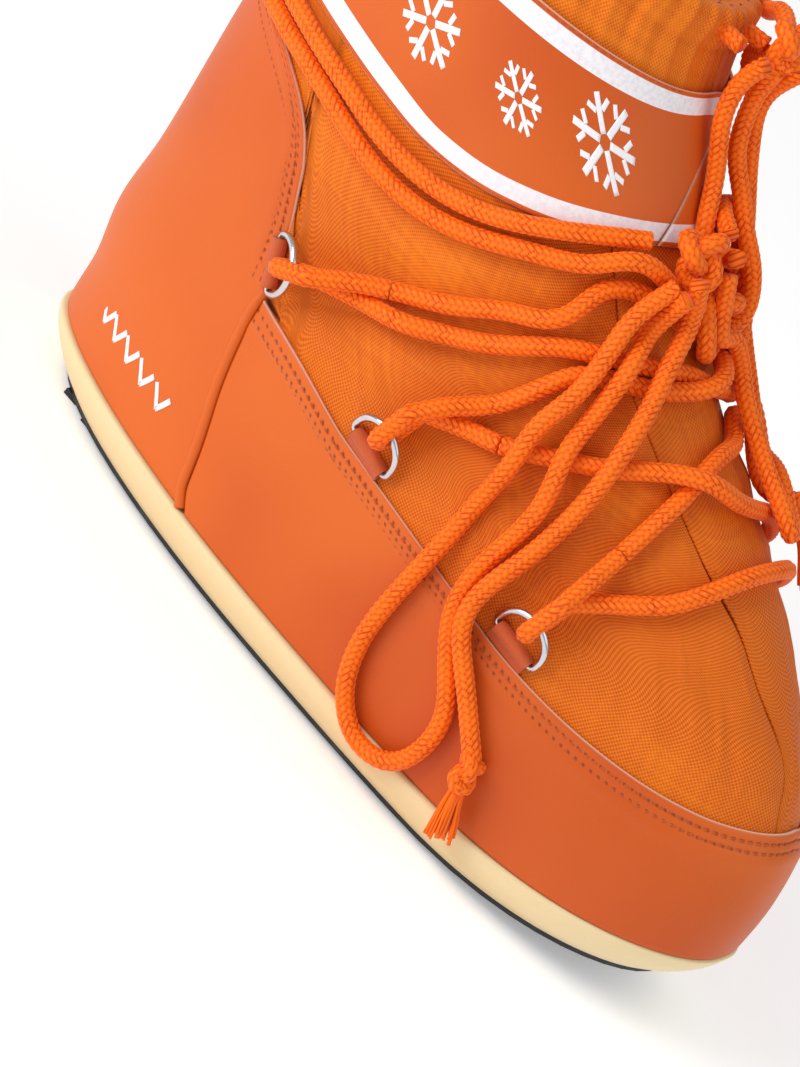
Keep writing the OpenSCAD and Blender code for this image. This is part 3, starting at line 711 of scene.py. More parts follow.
ROUTES = {
    "lace_vamp": ((0.0515, -0.0535, 0.095), (0.0605, -0.0445, 0.103), (0.0705, -0.038, 0.112),
        (0.0755, -0.0275, 0.122), (0.078, -0.015, 0.13), (0.0795, 0.0005, 0.1325),
        (0.0785, 0.0145, 0.13), (0.076, 0.0275, 0.122), (0.0705, 0.038, 0.1125),
        (0.0605, 0.045, 0.1035), (0.0515, 0.0535, 0.095)),
    "lace_low_right": ((0.0525, -0.062, 0.0955), (0.0515, -0.053, 0.105),
        (0.0505, -0.0435, 0.114), (0.05, -0.038, 0.1255), (0.049, -0.03, 0.1355),
        (0.046, -0.0195, 0.143), (0.043, -0.008, 0.148), (0.041, 0.005, 0.148),
        (0.0305, 0.0165, 0.1505), (0.0305, 0.0315, 0.1435), (0.029, 0.039, 0.1355),
        (0.021, 0.0465, 0.1275), (0.012, 0.05, 0.119), (0.0005, 0.053, 0.113),
        (-0.0115, 0.0555, 0.109), (-0.022, 0.06, 0.103)),
    "lace_low_left": ((-0.022, -0.06, 0.103), (-0.009, -0.054, 0.1085), (0.002, -0.0535, 0.1125),
        (0.0185, -0.0475, 0.123), (0.029, -0.0425, 0.1295), (0.041, -0.033, 0.14),
        (0.0515, -0.027, 0.146), (0.0585, -0.0125, 0.1425), (0.061, 0.0025, 0.14),
        (0.0615, 0.018, 0.1365), (0.0625, 0.0305, 0.1285), (0.058, 0.0405, 0.117),
        (0.055, 0.0515, 0.1065), (0.0525, 0.062, 0.0955)),
    "lace_mid_right": ((-0.0225, -0.0685, 0.1025), (-0.0165, -0.0605, 0.112),
        (-0.0085, -0.0525, 0.1195), (-0.0025, -0.0505, 0.133), (0.0015, -0.044, 0.1435),
        (0.012, -0.035, 0.1495), (0.02, -0.025, 0.153), (0.0275, -0.0125, 0.1605),
        (0.026, -0.0035, 0.1645), (0.018, 0.006, 0.1635), (0.004, 0.027, 0.1655),
        (0.0045, 0.035, 0.155), (-0.005, 0.0435, 0.149), (-0.0135, 0.0505, 0.14),
        (-0.024, 0.053, 0.131), (-0.0355, 0.055, 0.1235), (-0.048, 0.0565, 0.118),
        (-0.0605, 0.0575, 0.1125), (-0.073, 0.0615, 0.108)),
    "lace_mid_left": ((-0.073, -0.0615, 0.108), (-0.061, -0.057, 0.1115),
        (-0.0465, -0.0595, 0.117), (-0.036, -0.055, 0.123), (-0.025, -0.0535, 0.13),
        (-0.0145, -0.051, 0.1395), (-0.006, -0.0445, 0.1475), (0.0035, -0.0375, 0.152),
        (0.0135, -0.0265, 0.1565), (0.0185, -0.015, 0.159), (0.0245, -0.003, 0.158),
        (0.025, 0.013, 0.155), (0.023, 0.0265, 0.1505), (0.01, 0.037, 0.1485),
        (0.0015, 0.044, 0.143), (-0.0025, 0.0505, 0.132), (-0.009, 0.0535, 0.1205),
        (-0.0165, 0.0615, 0.1125), (-0.0225, 0.0685, 0.1025)),
    "lace_wrap_right": ((-0.076, -0.0695, 0.1075), (-0.065, -0.062, 0.116),
        (-0.0545, -0.0555, 0.122), (-0.0395, -0.055, 0.1315), (-0.0275, -0.0515, 0.142),
        (-0.0125, -0.049, 0.1525), (-0.0125, -0.038, 0.167), (-0.0015, -0.0255, 0.1715),
        (0.0115, -0.007, 0.1675), (0.0025, 0.005, 0.1765), (-0.0035, 0.02, 0.177),
        (-0.014, 0.0335, 0.176), (-0.0225, 0.044, 0.168), (-0.035, 0.05, 0.1605),
        (-0.0485, 0.0535, 0.1525), (-0.063, 0.0555, 0.1465), (-0.0785, 0.056, 0.144),
        (-0.0945, 0.055, 0.144), (-0.11, 0.053, 0.146), (-0.1255, 0.05, 0.1475),
        (-0.141, 0.045, 0.1495), (-0.1555, 0.038, 0.1515), (-0.168, 0.0285, 0.153),
        (-0.177, 0.015, 0.154), (-0.1805, -0.0005, 0.1555), (-0.177, -0.016, 0.1565),
        (-0.168, -0.029, 0.1555), (-0.155, -0.039, 0.1555), (-0.1405, -0.046, 0.155),
        (-0.125, -0.051, 0.154), (-0.1095, -0.054, 0.153), (-0.094, -0.0555, 0.1515),
        (-0.078, -0.056, 0.152), (-0.0625, -0.055, 0.155), (-0.048, -0.054, 0.1615),
        (-0.035, -0.05, 0.17), (-0.024, -0.0415, 0.178), (-0.014, -0.031, 0.185)),
    "lace_wrap_left": ((-0.076, 0.0695, 0.1075), (-0.064, 0.062, 0.118), (-0.051, 0.055, 0.1265),
        (-0.036, 0.0545, 0.136), (-0.0215, 0.052, 0.15), (-0.012, 0.043, 0.1565),
        (-0.0015, 0.0285, 0.1695), (0.007, 0.0095, 0.1725), (0.011, 0.0035, 0.183),
        (0.0045, -0.0095, 0.173), (-0.0095, -0.0355, 0.181), (-0.02, -0.0445, 0.169),
        (-0.0355, -0.0505, 0.16), (-0.051, -0.0545, 0.151), (-0.068, -0.056, 0.145),
        (-0.0855, -0.0555, 0.143), (-0.103, -0.0545, 0.1445), (-0.12, -0.051, 0.1465),
        (-0.137, -0.0465, 0.1475), (-0.1535, -0.0385, 0.148), (-0.168, -0.029, 0.1485),
        (-0.1815, -0.017, 0.1505), (-0.1875, -0.002, 0.1565), (-0.1815, 0.014, 0.16),
        (-0.171, 0.029, 0.1595), (-0.1575, 0.04, 0.158), (-0.141, 0.0465, 0.1565),
        (-0.124, 0.0515, 0.1545), (-0.1065, 0.0545, 0.153), (-0.0885, 0.056, 0.1525),
        (-0.071, 0.056, 0.154), (-0.0545, 0.054, 0.1585), (-0.039, 0.052, 0.167),
        (-0.027, 0.0445, 0.177), (-0.016, 0.032, 0.1825), (-0.012, 0.0175, 0.1895),
        (-0.007, -0.002, 0.19)),
    "bow_loop_right": ((0.002, -0.03, 0.181), (0.0005, -0.0385, 0.167), (0.004, -0.0435, 0.155),
        (0.0075, -0.0505, 0.1405), (0.006, -0.055, 0.127), (0.0095, -0.0585, 0.1125),
        (0.009, -0.0555, 0.096), (0.0105, -0.059, 0.082), (0.0115, -0.062, 0.067),
        (0.012, -0.063, 0.052), (0.014, -0.063, 0.037), (0.02, -0.0625, 0.0235),
        (0.0315, -0.061, 0.014), (0.046, -0.0605, 0.016), (0.0515, -0.0615, 0.0285),
        (0.0495, -0.062, 0.043), (0.039, -0.0615, 0.054), (0.028, -0.0605, 0.0665),
        (0.0245, -0.0595, 0.0815), (0.025, -0.056, 0.097), (0.0245, -0.055, 0.111),
        (0.018, -0.0535, 0.127), (0.0155, -0.0465, 0.1335), (0.0115, -0.0405, 0.156),
        (0.0045, -0.028, 0.164), (0.007, -0.03, 0.181)),
    "bow_loop_left": ((0.004, -0.008, 0.194), (-0.005, 0.0085, 0.1845), (-0.004, 0.016, 0.186),
        (0.011, 0.021, 0.173), (0.02, 0.0175, 0.1575), (0.015, 0.032, 0.157),
        (0.0325, 0.0275, 0.1525), (0.041, 0.0275, 0.146), (0.043, 0.0335, 0.142),
        (0.0545, 0.021, 0.1465), (0.0755, 0.009, 0.139), (0.064, 0.007, 0.1455),
        (0.0525, 0.009, 0.1485), (0.043, 0.01, 0.1535), (0.034, 0.0085, 0.158),
        (0.024, 0.012, 0.164), (0.016, 0.0025, 0.1735), (0.0175, -0.0055, 0.1695),
        (0.006, -0.01, 0.189)),
    "bow_tail_right": ((0.006, -0.027, 0.186), (0.0105, -0.0195, 0.172), (0.017, -0.029, 0.161),
        (0.0235, -0.036, 0.15), (0.029, -0.045, 0.138), (0.0325, -0.0505, 0.1245),
        (0.033, -0.052, 0.1095), (0.033, -0.0575, 0.0955), (0.031, -0.062, 0.081),
        (0.0335, -0.064, 0.068), (0.0495, -0.0625, 0.0535), (0.0655, -0.0615, 0.0395)),
    "bow_tail_left": ((-0.004, -0.004, 0.196), (-0.0145, 0.005, 0.197), (-0.0175, 0.022, 0.1945),
        (-0.011, 0.0305, 0.19), (-0.0065, 0.0355, 0.175), (-0.0025, 0.04, 0.1665),
        (0.002, 0.0455, 0.1535), (0.007, 0.05, 0.142), (0.005, 0.0525, 0.1295),
        (0.006, 0.058, 0.117), (0.007, 0.0585, 0.103), (0.0065, 0.058, 0.09),
        (0.007, 0.0615, 0.077), (0.007, 0.0655, 0.063)),
    "drawstring_loop_right": ((-0.031, -0.009, 0.243), (-0.0345, -0.007, 0.234),
        (-0.0315, -0.0065, 0.2215), (-0.026, -0.0035, 0.2125), (-0.019, -0.001, 0.2015),
        (-0.0115, -0.0055, 0.192), (-0.0035, -0.0035, 0.1825), (0.0055, -0.011, 0.179),
        (0.013, -0.015, 0.175), (0.018, -0.0125, 0.168), (0.017, -0.005, 0.1635),
        (0.0125, 0.0055, 0.1675), (0.013, 0.014, 0.176), (0.0035, 0.0145, 0.1885),
        (-0.0055, 0.011, 0.1955), (-0.0155, 0.011, 0.204), (-0.023, 0.0075, 0.2105),
        (-0.027, 0.005, 0.219), (-0.031, 0.003, 0.2315), (-0.03, 0, 0.242)),
    "drawstring_loop_left": ((-0.031, 0.01, 0.244), (-0.0335, 0.013, 0.2385),
        (-0.0325, 0.0205, 0.2255), (-0.038, 0.0265, 0.2225), (-0.045, 0.028, 0.2265),
        (-0.047, 0.023, 0.234), (-0.0375, 0.011, 0.24), (-0.033, 0.009, 0.248)),
    "drawstring_tail_side": ((-0.037, 0.009, 0.249), (-0.047, 0.0195, 0.2505),
        (-0.0545, 0.0325, 0.2425), (-0.0645, 0.0435, 0.2405), (-0.0775, 0.0515, 0.239),
        (-0.0915, 0.057, 0.236), (-0.106, 0.0595, 0.2315), (-0.119, 0.06, 0.223),
        (-0.1265, 0.0595, 0.2095), (-0.1295, 0.0595, 0.1935)),
    "drawstring_tail_front": ((-0.025, 0.005, 0.246), (-0.0305, 0.01, 0.229),
        (-0.0215, 0.0155, 0.211), (-0.011, 0.02, 0.1965), (-0.0005, 0.025, 0.181),
        (0.01, 0.027, 0.169), (0.0325, 0.021, 0.155), (0.0525, 0.019, 0.14),
        (0.062, 0.028, 0.142)),
}
CORD_ENDS = {
    "bow_tail_right": ("bow_end_right", (0.066, -0.0615, 0.038), (0.31, -0.02, -0.95)),
    "bow_tail_left": ("bow_end_left", (0.007, 0.0655, 0.0615), (0, 0.07, -1)),
    "drawstring_tail_side": ("drawstring_end_side", (-0.129, 0.0595, 0.192), (0.13, 0.01, -0.99)),
    "drawstring_tail_front": ("drawstring_end_front", (0.0635, 0.028, 0.141), (0.88, -0.08, -0.47)),
}
KNOTS = {"bow_knot": ((-0.002, -0.018, 0.189), 2.75), "drawstring_knot": ((-0.033, 0.002, 0.25), 2.3)}

# Rings on the right side: middle of the bar, its direction and the outward normal
RING_PLACE = ((-91.6, -54.4, 96.5), (-26.5, -58.7, 80.3), (48, -54.7, 72.5))
RING_BAR = ((0.507, -0.091, -0.857), (0.982, -0.007, -0.189), (0.983, 0.102, -0.154))
RING_OUT = ((-0.165, -0.986, 0.007), (0.016, -0.993, 0.118), (0.133, -0.969, 0.21))
RING_TILT, TURN_TILT = 30.0, 20.0
RING_HALF, RING_REACH = 9.6, 12.6
TURN_RADIUS, TURN_LEG = 4.4, 8.0
SHARED = 26.0
# What enters each ring: its lower and its upper strand, and whether by the strand's far end
ENTERS = {
    (3, "right"): (("lace_vamp", False), ("lace_low_right", False)),
    (3, "left"): (("lace_vamp", True), ("lace_low_left", True)),
    (2, "right"): (("lace_low_left", False), ("lace_mid_right", False)),
    (2, "left"): (("lace_low_right", True), ("lace_mid_left", True)),
    (1, "right"): (("lace_mid_left", False), ("lace_wrap_right", False)),
    (1, "left"): (("lace_mid_right", True), ("lace_wrap_left", False)),
}
WITHOUT_FAR_END = ("lace_wrap_right", "lace_wrap_left")


def ring_axes(k, tilt, side):
    """Middle of a ring's bar and its frame: along the bar, up the upper, outwards, turned out by
    tilt degrees about the bar; the left side is the right one mirrored."""
    bar = unit(np.array(RING_BAR[k - 1]))
    out = np.array(RING_OUT[k - 1])
    out = unit(out - bar * (bar @ out))
    ahead = np.cross(out, bar)
    c, s = math.cos(math.radians(tilt)), math.sin(math.radians(tilt))
    up = c * ahead + s * out
    axes = np.array([RING_PLACE[k - 1], bar, up, np.cross(bar, up)])
    return axes * [1, -1, 1] if side == "left" else axes


def route_mm(name):
    return np.array(ROUTES[name]) / MM


def clear_of_laces(points, reach=9.0):
    """Share of free height at each point: 0 under a cord, 1 a reach away, by a bell curve of the
    distance to the nearest point of any lace."""
    laces = np.vstack([even_line(smooth_line(route_mm(name)), 2.5)[0]
                       for name in ROUTES if name.startswith("lace_")])
    flat = points.reshape(-1, 3)
    near = np.empty(len(flat))
    for start in range(0, len(flat), 4000):
        block = flat[start:start + 4000]
        gap = ((block[:, None] - laces[None]) ** 2).sum(-1)
        near[start:start + 4000] = np.sqrt(gap.min(1))
    near = np.maximum(near - 3.0, 0).reshape(points.shape[:-1])
    return 1 - np.exp(-((near / reach) ** 2))


# ---------------------------------------------------------------- cords, knots and tassels

def knot_line(place, size, out, across):
    """Closed trefoil of a given size, flat against the upper: x = sin t + 2 sin 2t,
    y = cos t - 2 cos 2t, and height -sin 3t along the outward direction."""
    t = np.linspace(0, 2 * np.pi, 241)[:-1]
    out = unit(np.asarray(out, float))
    across = unit(np.asarray(across, float) - out * np.dot(across, out))
    third = np.cross(out, across)
    shape = (np.outer(np.sin(t) + 2 * np.sin(2 * t), across)
             + np.outer(np.cos(t) - 2 * np.cos(2 * t), third) + np.outer(-1.05 * np.sin(3 * t), out))
    line = np.asarray(place) + size * shape
    return np.vstack([line, line[:1]])


def tassel_piece(name, end, heading, node, node_slot):
    """A stopper knot on a cord's end and the frayed cord below it: a closed trefoil, a short neck,
    and a bundle of fine strands that spread as they fall."""
    end, heading = np.array(end) / MM, unit(np.array(heading, float))
    out = unit(np.array([0.0, np.sign(end[1] + 0.01), 0.35]))
    knot, _, _ = cord_piece(name, knot_line(end + 2.5 * heading, 1.75, np.cross(heading, out),
                                            heading), 2.35, MATERIALS["cord"], node_slot,
                            closed=True, step=0.6, around=24, replaces=(node,))
    rng = np.random.default_rng(len(name) * 7 + 3)
    side = unit(np.cross(heading, out))
    up = np.cross(heading, side)
    run = np.linspace(0, 1, 14)
    points, quads, braid = [], [], []
    count, around, long = 54, 5, 22.0
    for strand in range(count):
        angle, share = rng.uniform(0, 2 * np.pi), math.sqrt(rng.uniform(0, 1))
        spread = (1.9 + 2.9 * run**1.4 + 0.5 * np.sin(run * 5 + angle)) * share
        drift = angle + 0.5 * run * rng.uniform(-1, 1)
        reach = 4.0 + (long * rng.uniform(0.86, 1.0)) * run
        line = (end + np.outer(reach, heading) + np.outer(spread * np.cos(drift), side)
                + np.outer(spread * np.sin(drift), up))
        _, a, b = carried_frame(line)
        turn = 2 * np.pi * np.arange(around) / around
        radius = (0.62 * (1 - 0.25 * run))[:, None, None]
        ring = line[:, None] + radius * (a[:, None] * np.cos(turn)[None, :, None]
                                         + b[:, None] * np.sin(turn)[None, :, None])
        base = strand * len(run) * around
        points.append(ring.reshape(-1, 3))
        last = base + (len(run) - 1) * around
        quads.append(grid_faces(len(run), around, True, base))
        quads.append(np.array([[base, base + 4, base + 3, base + 3], [base, base + 3, base + 2, base + 1],
                               [last, last + 1, last + 2, last + 3], [last, last + 3, last + 4, last + 4]]))
        braid.append(np.full(len(run) * around, rng.uniform(0.35, 0.95)))
    fringe = new_piece(name + "_fringe", np.vstack(points), np.vstack(quads), MATERIALS["cord"],
                       node_slot, marks={"braid": np.concatenate(braid)},
                       uv=np.zeros((count * len(run) * around, 2)))
    return [knot, fringe]


def declare_cord(centre, length):
    tuple(float(v) for v in centre[0] * MM)
    round(length * MM, 4)
    centre * MM


class SNOWBOOT_OT_free_cords(Operator):
    """Makes the free cords: the bow's loops and tails and the drawstring's, and their tassels"""

    bl_idname = "snowboot.free_cords"
    bl_label = "Free Cords"

    def execute(self, context):
        radius = sizes().cord_radius / MM
        for name in ROUTES:
            if name.startswith("lace_"):
                continue
            node_slot = "lace_cord" if name.startswith("bow") else "drawstring_cord"
            piece, centre, length = cord_piece(name + "_braid", route_mm(name), radius,
                                               MATERIALS["cord"], node_slot, replaces=(name,))
            if name in CORD_ENDS:
                node, end, heading = CORD_ENDS[name]
                ends = tassel_piece(node + "_knot", end, heading, node, node_slot)
                declare_cord(centre, length)
            else:
                declare_cord(centre, length)
        return {"FINISHED"}


class SNOWBOOT_OT_laces(Operator):
    """Makes the lace strands, their turns in the rings, the bow's knot and the drawstring"""

    bl_idname = "snowboot.laces"
    bl_label = "Laces"

    def strand(self, name, radius):
        line, length = even_line(smooth_line(route_mm(name)), 0.65)
        line, length = even_line(soften(line, 0.65), 0.65)
        run = np.linspace(0, length, len(line))
        keep = run >= SHARED
        if name not in WITHOUT_FAR_END:
            keep &= run <= length - SHARED
        cord_piece(name + "_braid", line[keep], radius, MATERIALS["cord"], "lace_cord",
                   replaces=(name,))
        return line, run, length

    def turn(self, k, side, strands, radius):
        """The lace's turn in a ring: the last stretch of one strand, a half circle round the ring's wire,
        and the first stretch of the next."""
        def stretch(name, far):
            line, run, length = strands[name]
            if far:
                line, run = line[::-1], length - run[::-1]
            return line[run <= SHARED + 0.4]

        place, _, up, _ = ring_axes(k, RING_TILT, side)
        _, _, leg, out = ring_axes(k, RING_TILT - TURN_TILT, side)
        middle = place + RING_REACH * up
        bend = np.linspace(-np.pi / 2, np.pi / 2, 15)
        bight = middle + TURN_RADIUS * (np.outer(np.sin(bend), out) - np.outer(np.cos(bend), leg))
        reach = np.linspace(TURN_LEG, 2.0, 3)
        lower = middle - TURN_RADIUS * out + np.outer(reach, leg)
        higher = middle + TURN_RADIUS * out + np.outer(reach[::-1], leg)
        (low_name, low_far), (high_name, high_far) = ENTERS[k, side]
        first, last = stretch(low_name, low_far)[::-1], stretch(high_name, high_far)
        thin = slice(None, None, 5)
        route = np.vstack([first[:1], first[2:-4][thin], first[-1:], lower, bight, higher,
                           last[:1], last[4:-2][thin], last[-1:]])
        node = f"lace_turn_{k}_{side}"
        line, _ = even_line(smooth_line(route, 6), 0.65)
        piece, _, _ = cord_piece(node + "_braid", line, radius, MATERIALS["cord"], "lace_cord",
                                 body=None, replaces=(node,))
        far = min((first[0] - middle) @ leg, (last[-1] - middle) @ leg) - 1.5
        tuple((middle + max(far, TURN_LEG + 4) * leg) * MM)
        tuple((middle + TURN_LEG * leg) * MM)
        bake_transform(piece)

    def execute(self, context):
        radius = sizes().cord_radius / MM
        strands = {name: self.strand(name, radius) for name in ROUTES if name.startswith("lace_")}
        for k, side in ENTERS:
            self.turn(k, side, strands, radius)
        for name, (place, size) in KNOTS.items():
            place = np.array(place) / MM
            out = (0.75, -0.35, 0.55) if name == "bow_knot" else (0.9, 0.0, 0.45)
            node_slot = "lace_cord" if name == "bow_knot" else "drawstring_cord"
            cord_piece(name + "_braid", knot_line(place, size, out, (0.2, 1, 0.1)), 2.9,
                       MATERIALS["cord"], node_slot, closed=True, replaces=(name,))
        level, exit_at = RIM - 6.2, 9.0
        t = np.linspace(exit_at + 5, 355 - exit_at, 120)
        inside = upper(t, np.full_like(t, level), -6.0)
        lead = [upper(a, level, b) for a, b in ((exit_at, 7.0), (exit_at, -2.0))]
        tail = [upper(-exit_at, level, b) for b in (-2.0, 7.0)]
        cord_piece("drawstring_braid", np.vstack([lead, inside, tail]), 2.8, MATERIALS["cord"],
                   "drawstring_cord", replaces=("drawstring",))
        return {"FINISHED"}


# ---------------------------------------------------------------- stitches, piping and prints

def chart_offset(t, z, distance, run_side):
    """Moves a seam's points sideways on the upper: the in-surface direction across the seam is
    the normal crossed with its heading, solved for the two chart steps that give it."""
    step = 0.4
    line = lofted(t, z)
    across = run_side * np.cross(outward(t, z), unit(np.gradient(line, axis=0)))
    dt = (lofted(t + step, z) - lofted(t - step, z)) / (2 * step)
    dz = (lofted(t, z + step) - lofted(t, z - step)) / (2 * step)
    tt, tz, zz = (dt * dt).sum(-1), (dt * dz).sum(-1), (dz * dz).sum(-1)
    at, az = (across * dt).sum(-1), (across * dz).sum(-1)
    det = tt * zz - tz * tz
    return (t + distance * (at * zz - az * tz) / det, z + distance * (az * tt - at * tz) / det)


def stitch_places(t, z, rows, run_side, lift, pitch):
    """Centres, headings and normals of stitches one pitch apart along a seam, in rows at given
    distances from it."""
    line = lofted(t, z)
    run = np.r_[0, np.cumsum(np.linalg.norm(np.diff(line, axis=0), axis=1))]
    at = np.arange(pitch, run[-1] - pitch, pitch)
    found = []
    for distance in rows:
        ot, oz = chart_offset(t, z, distance, run_side)
        ct, cz = np.interp(at, run, ot), np.interp(at, run, oz)
        centre = upper(ct, cz, lift)
        found.append((centre, unit(np.gradient(centre, axis=0)), outward(ct, cz)))
    return [np.concatenate(part) for part in zip(*found)]


def stitch_piece(name, places, half, thick, material, node_slot):
    """Threads as small capsules: rings of eight points whose radius follows a half ellipse, and
    whose ends dip into the needle holes."""
    centre, heading, out = places
    side = np.cross(heading, out)
    along = np.array([-1.0, -0.86, -0.45, 0.0, 0.45, 0.86, 1.0])
    radius = thick * np.sqrt(np.maximum(1 - along**4, 0.02))
    dip = -0.75 * thick * along**4
    turn = 2 * np.pi * np.arange(8) / 8
    shape = (centre[:, None, None]
             + (half * along)[None, :, None, None] * heading[:, None, None]
             + (radius[:, None] * np.cos(turn))[None, :, :, None] * side[:, None, None]
             + (dip[:, None] + radius[:, None] * np.sin(turn))[None, :, :, None]
             * out[:, None, None])
    each = len(along) * 8
    one = np.concatenate([grid_faces(len(along), 8, True), cap_faces(8, 0, True),
                          cap_faces(8, each - 8)])
    quads = (one[None] + (np.arange(len(centre)) * each)[:, None, None]).reshape(-1, 4)
    if np.dot(np.cross(side[0], out[0]), heading[0]) < 0:
        quads = quads[:, ::-1]
    return new_piece(name, shape.reshape(-1, 3), quads, material, node_slot)


def plain_tube(name, line, radius, around, material, node_slot, closed=False, **more):
    """Round tube along a line, with its ends closed."""
    _, side, up = carried_frame(line, closed)
    turn = 2 * np.pi * np.arange(around) / around
    points = line[:, None] + radius * (side[:, None] * np.cos(turn)[None, :, None]
                                       + up[:, None] * np.sin(turn)[None, :, None])
    rows = len(line)
    if closed:
        # turn the last ring's start to meet the first ring's
        lap = np.arctan2((side[0] * up[-1]).sum(), (side[0] * side[-1]).sum())
        twist = turn[None, :] + (lap * np.linspace(0, 1, rows))[:, None]
        points = line[:, None] + radius * (side[:, None] * np.cos(twist)[..., None]
                                           + up[:, None] * np.sin(twist)[..., None])
        quads = grid_faces(rows + 1, around, True) % (rows * around)
    else:
        quads = np.concatenate([grid_faces(rows, around, True), cap_faces(around, 0, True),
                                cap_faces(around, (rows - 1) * around)])
    return new_piece(name, points.reshape(-1, 3), quads, material, node_slot, **more)


def strip_on_upper(t0, z0, tilt, start, end, half, seed=8, thick=0.16):
    """Points and faces of a flat bar printed on the upper: it runs from start to end millimetres
    at a tilt from level round the chart point (t0, z0)."""
    along = np.linspace(start, end, 10)
    across = np.array([-half, -half * 0.5, 0, half * 0.5, half])
    p, q = np.meshgrid(along, across, indexing="xy")
    c, s = math.cos(math.radians(tilt)), math.sin(math.radians(tilt))
    east, north = p * c - q * s, p * s + q * c
    pace = np.linalg.norm(lofted(t0 + 0.5, z0) - lofted(t0 - 0.5, z0))
    t, z = t0 + east / pace, z0 + north
    lift = OVERLAY + leather_wave(t, z, seed)
    return closed_panel(upper(t, z, lift + thick), upper(t, z, lift - 0.1))


def join_parts(parts):
    """Points and faces of several parts as one."""
    points, quads, start = [], [], 0
    for p, q in parts:
        points.append(p)
        quads.append(q + start)
        start += len(p)
    return np.vstack(points), np.vstack(quads)


def snowflake(t0, z0, size, turn):
    """Plain six-armed flake: each arm a bar from near the middle, with two short slanting twigs."""
    parts = []
    for arm in range(6):
        tilt = turn + 60 * arm
        parts.append(strip_on_upper(t0, z0, tilt, size * 0.16, size, size * 0.085))
        pace = np.linalg.norm(lofted(t0 + 0.5, z0) - lofted(t0 - 0.5, z0))
        for twig, at in ((52, 0.55), (-52, 0.55)):
            c, s = math.cos(math.radians(tilt)), math.sin(math.radians(tilt))
            parts.append(strip_on_upper(t0 + size * at * c / pace, z0 + size * at * s, tilt + twig,
                                        size * 0.12, size * 0.42, size * 0.065))
    return parts


# ---------------------------------------------------------------- rings and their loops

class SNOWBOOT_OT_rings(Operator):
    """Makes the six D-rings of bent wire and the webbing loops that hold their bars"""

    bl_idname = "snowboot.rings"
    bl_label = "D-Rings and Loops"

    def ring(self, k, side, wire):
        place, bar, up, _ = ring_axes(k, RING_TILT, side)
        bow = np.linspace(0, np.pi, 25)
        flat = [(RING_HALF * math.cos(a), 3 + RING_HALF * math.sin(a)) for a in bow]
        corner = 1.6
        for sign in (-1, 1):
            arc = np.linspace(0, np.pi / 2, 6)
            bend = [(sign * (RING_HALF - corner + corner * math.cos(a)), corner - corner * math.sin(a))
                    for a in arc]
            flat += bend if sign < 0 else bend[::-1]
        flat = np.array(flat + flat[:1])
        line, _ = even_line(place + np.outer(flat[:, 0], bar) + np.outer(flat[:, 1], up), 0.7)
        node = f"d_ring_{k}_{side}"
        plain_tube(node + "_wire", line[:-1], wire, 20, MATERIALS["steel"], "ring_steel",
                   closed=True, body=f"ring_{k}_{side}", replaces=(node,))

    def loop(self, k, side):
        """Tape folded round the bar: a drop-shaped outline, wide round the bar and flat at the
        tab, run along the bar."""
        place, bar, up, out = ring_axes(k, 0.0, side)
        arc = np.linspace(2.75, -2.85, 23)
        nose = np.stack([2.45 * np.cos(arc), 2.45 * np.sin(arc)], -1)
        top = np.stack([np.linspace(-8, -2.6, 8), np.linspace(-4.6, -0.2, 8)], -1)
        low = np.stack([np.linspace(-2.6, -8, 8), np.linspace(-2.0, -5.6, 8)], -1)
        outline = np.vstack([top, nose, low])
        steps = np.linspace(-8, 8, 33)
        shrink = 1 - 0.06 * (np.abs(steps) / 8) ** 8
        middle = np.array([-5.0, 0.0])
        flat = middle + (outline - middle)[None] * shrink[:, None, None]
        points = (place + steps[:, None, None] * bar + flat[..., :1] * up + flat[..., 1:] * out)
        count = len(outline)
        i = np.arange(count // 2)
        cap = np.stack([i, i + 1, count - 2 - i, count - 1 - i], -1)
        last = (len(steps) - 1) * count
        quads = np.concatenate([grid_faces(len(steps), count, True), cap, last + cap[:, ::-1]])
        if side == "right":
            quads = quads[:, ::-1]
        node = f"ring_loop_{k}_{side}"
        new_piece(node + "_tape", points.reshape(-1, 3), quads, MATERIALS["tape"], "webbing",
                  replaces=(node,))

    def execute(self, context):
        wire = sizes().wire_radius / MM
        for side in SIDES:
            for k in (1, 2, 3):
                self.ring(k, side, wire)
                self.loop(k, side)
        return {"FINISHED"}


# ---------------------------------------------------------------- sole

def sole_loop(z, toe, heel, side, out=0.0, count=240):
    """Loop of the sole at a height: the upper's own outline, drawn in by toe, heel and side
    millimetres, and lifted by the toe spring."""
    t = 2 * np.pi * np.arange(count) / count
    c, s = np.cos(t), np.sin(t)
    p = upper(np.degrees(t), np.full(count, FOOT_LEVEL), out)
    x = p[:, 0] - np.where(c > 0, toe, -heel) * c * c
    return np.stack([x, p[:, 1] - side * s, spring(x) + z], -1)


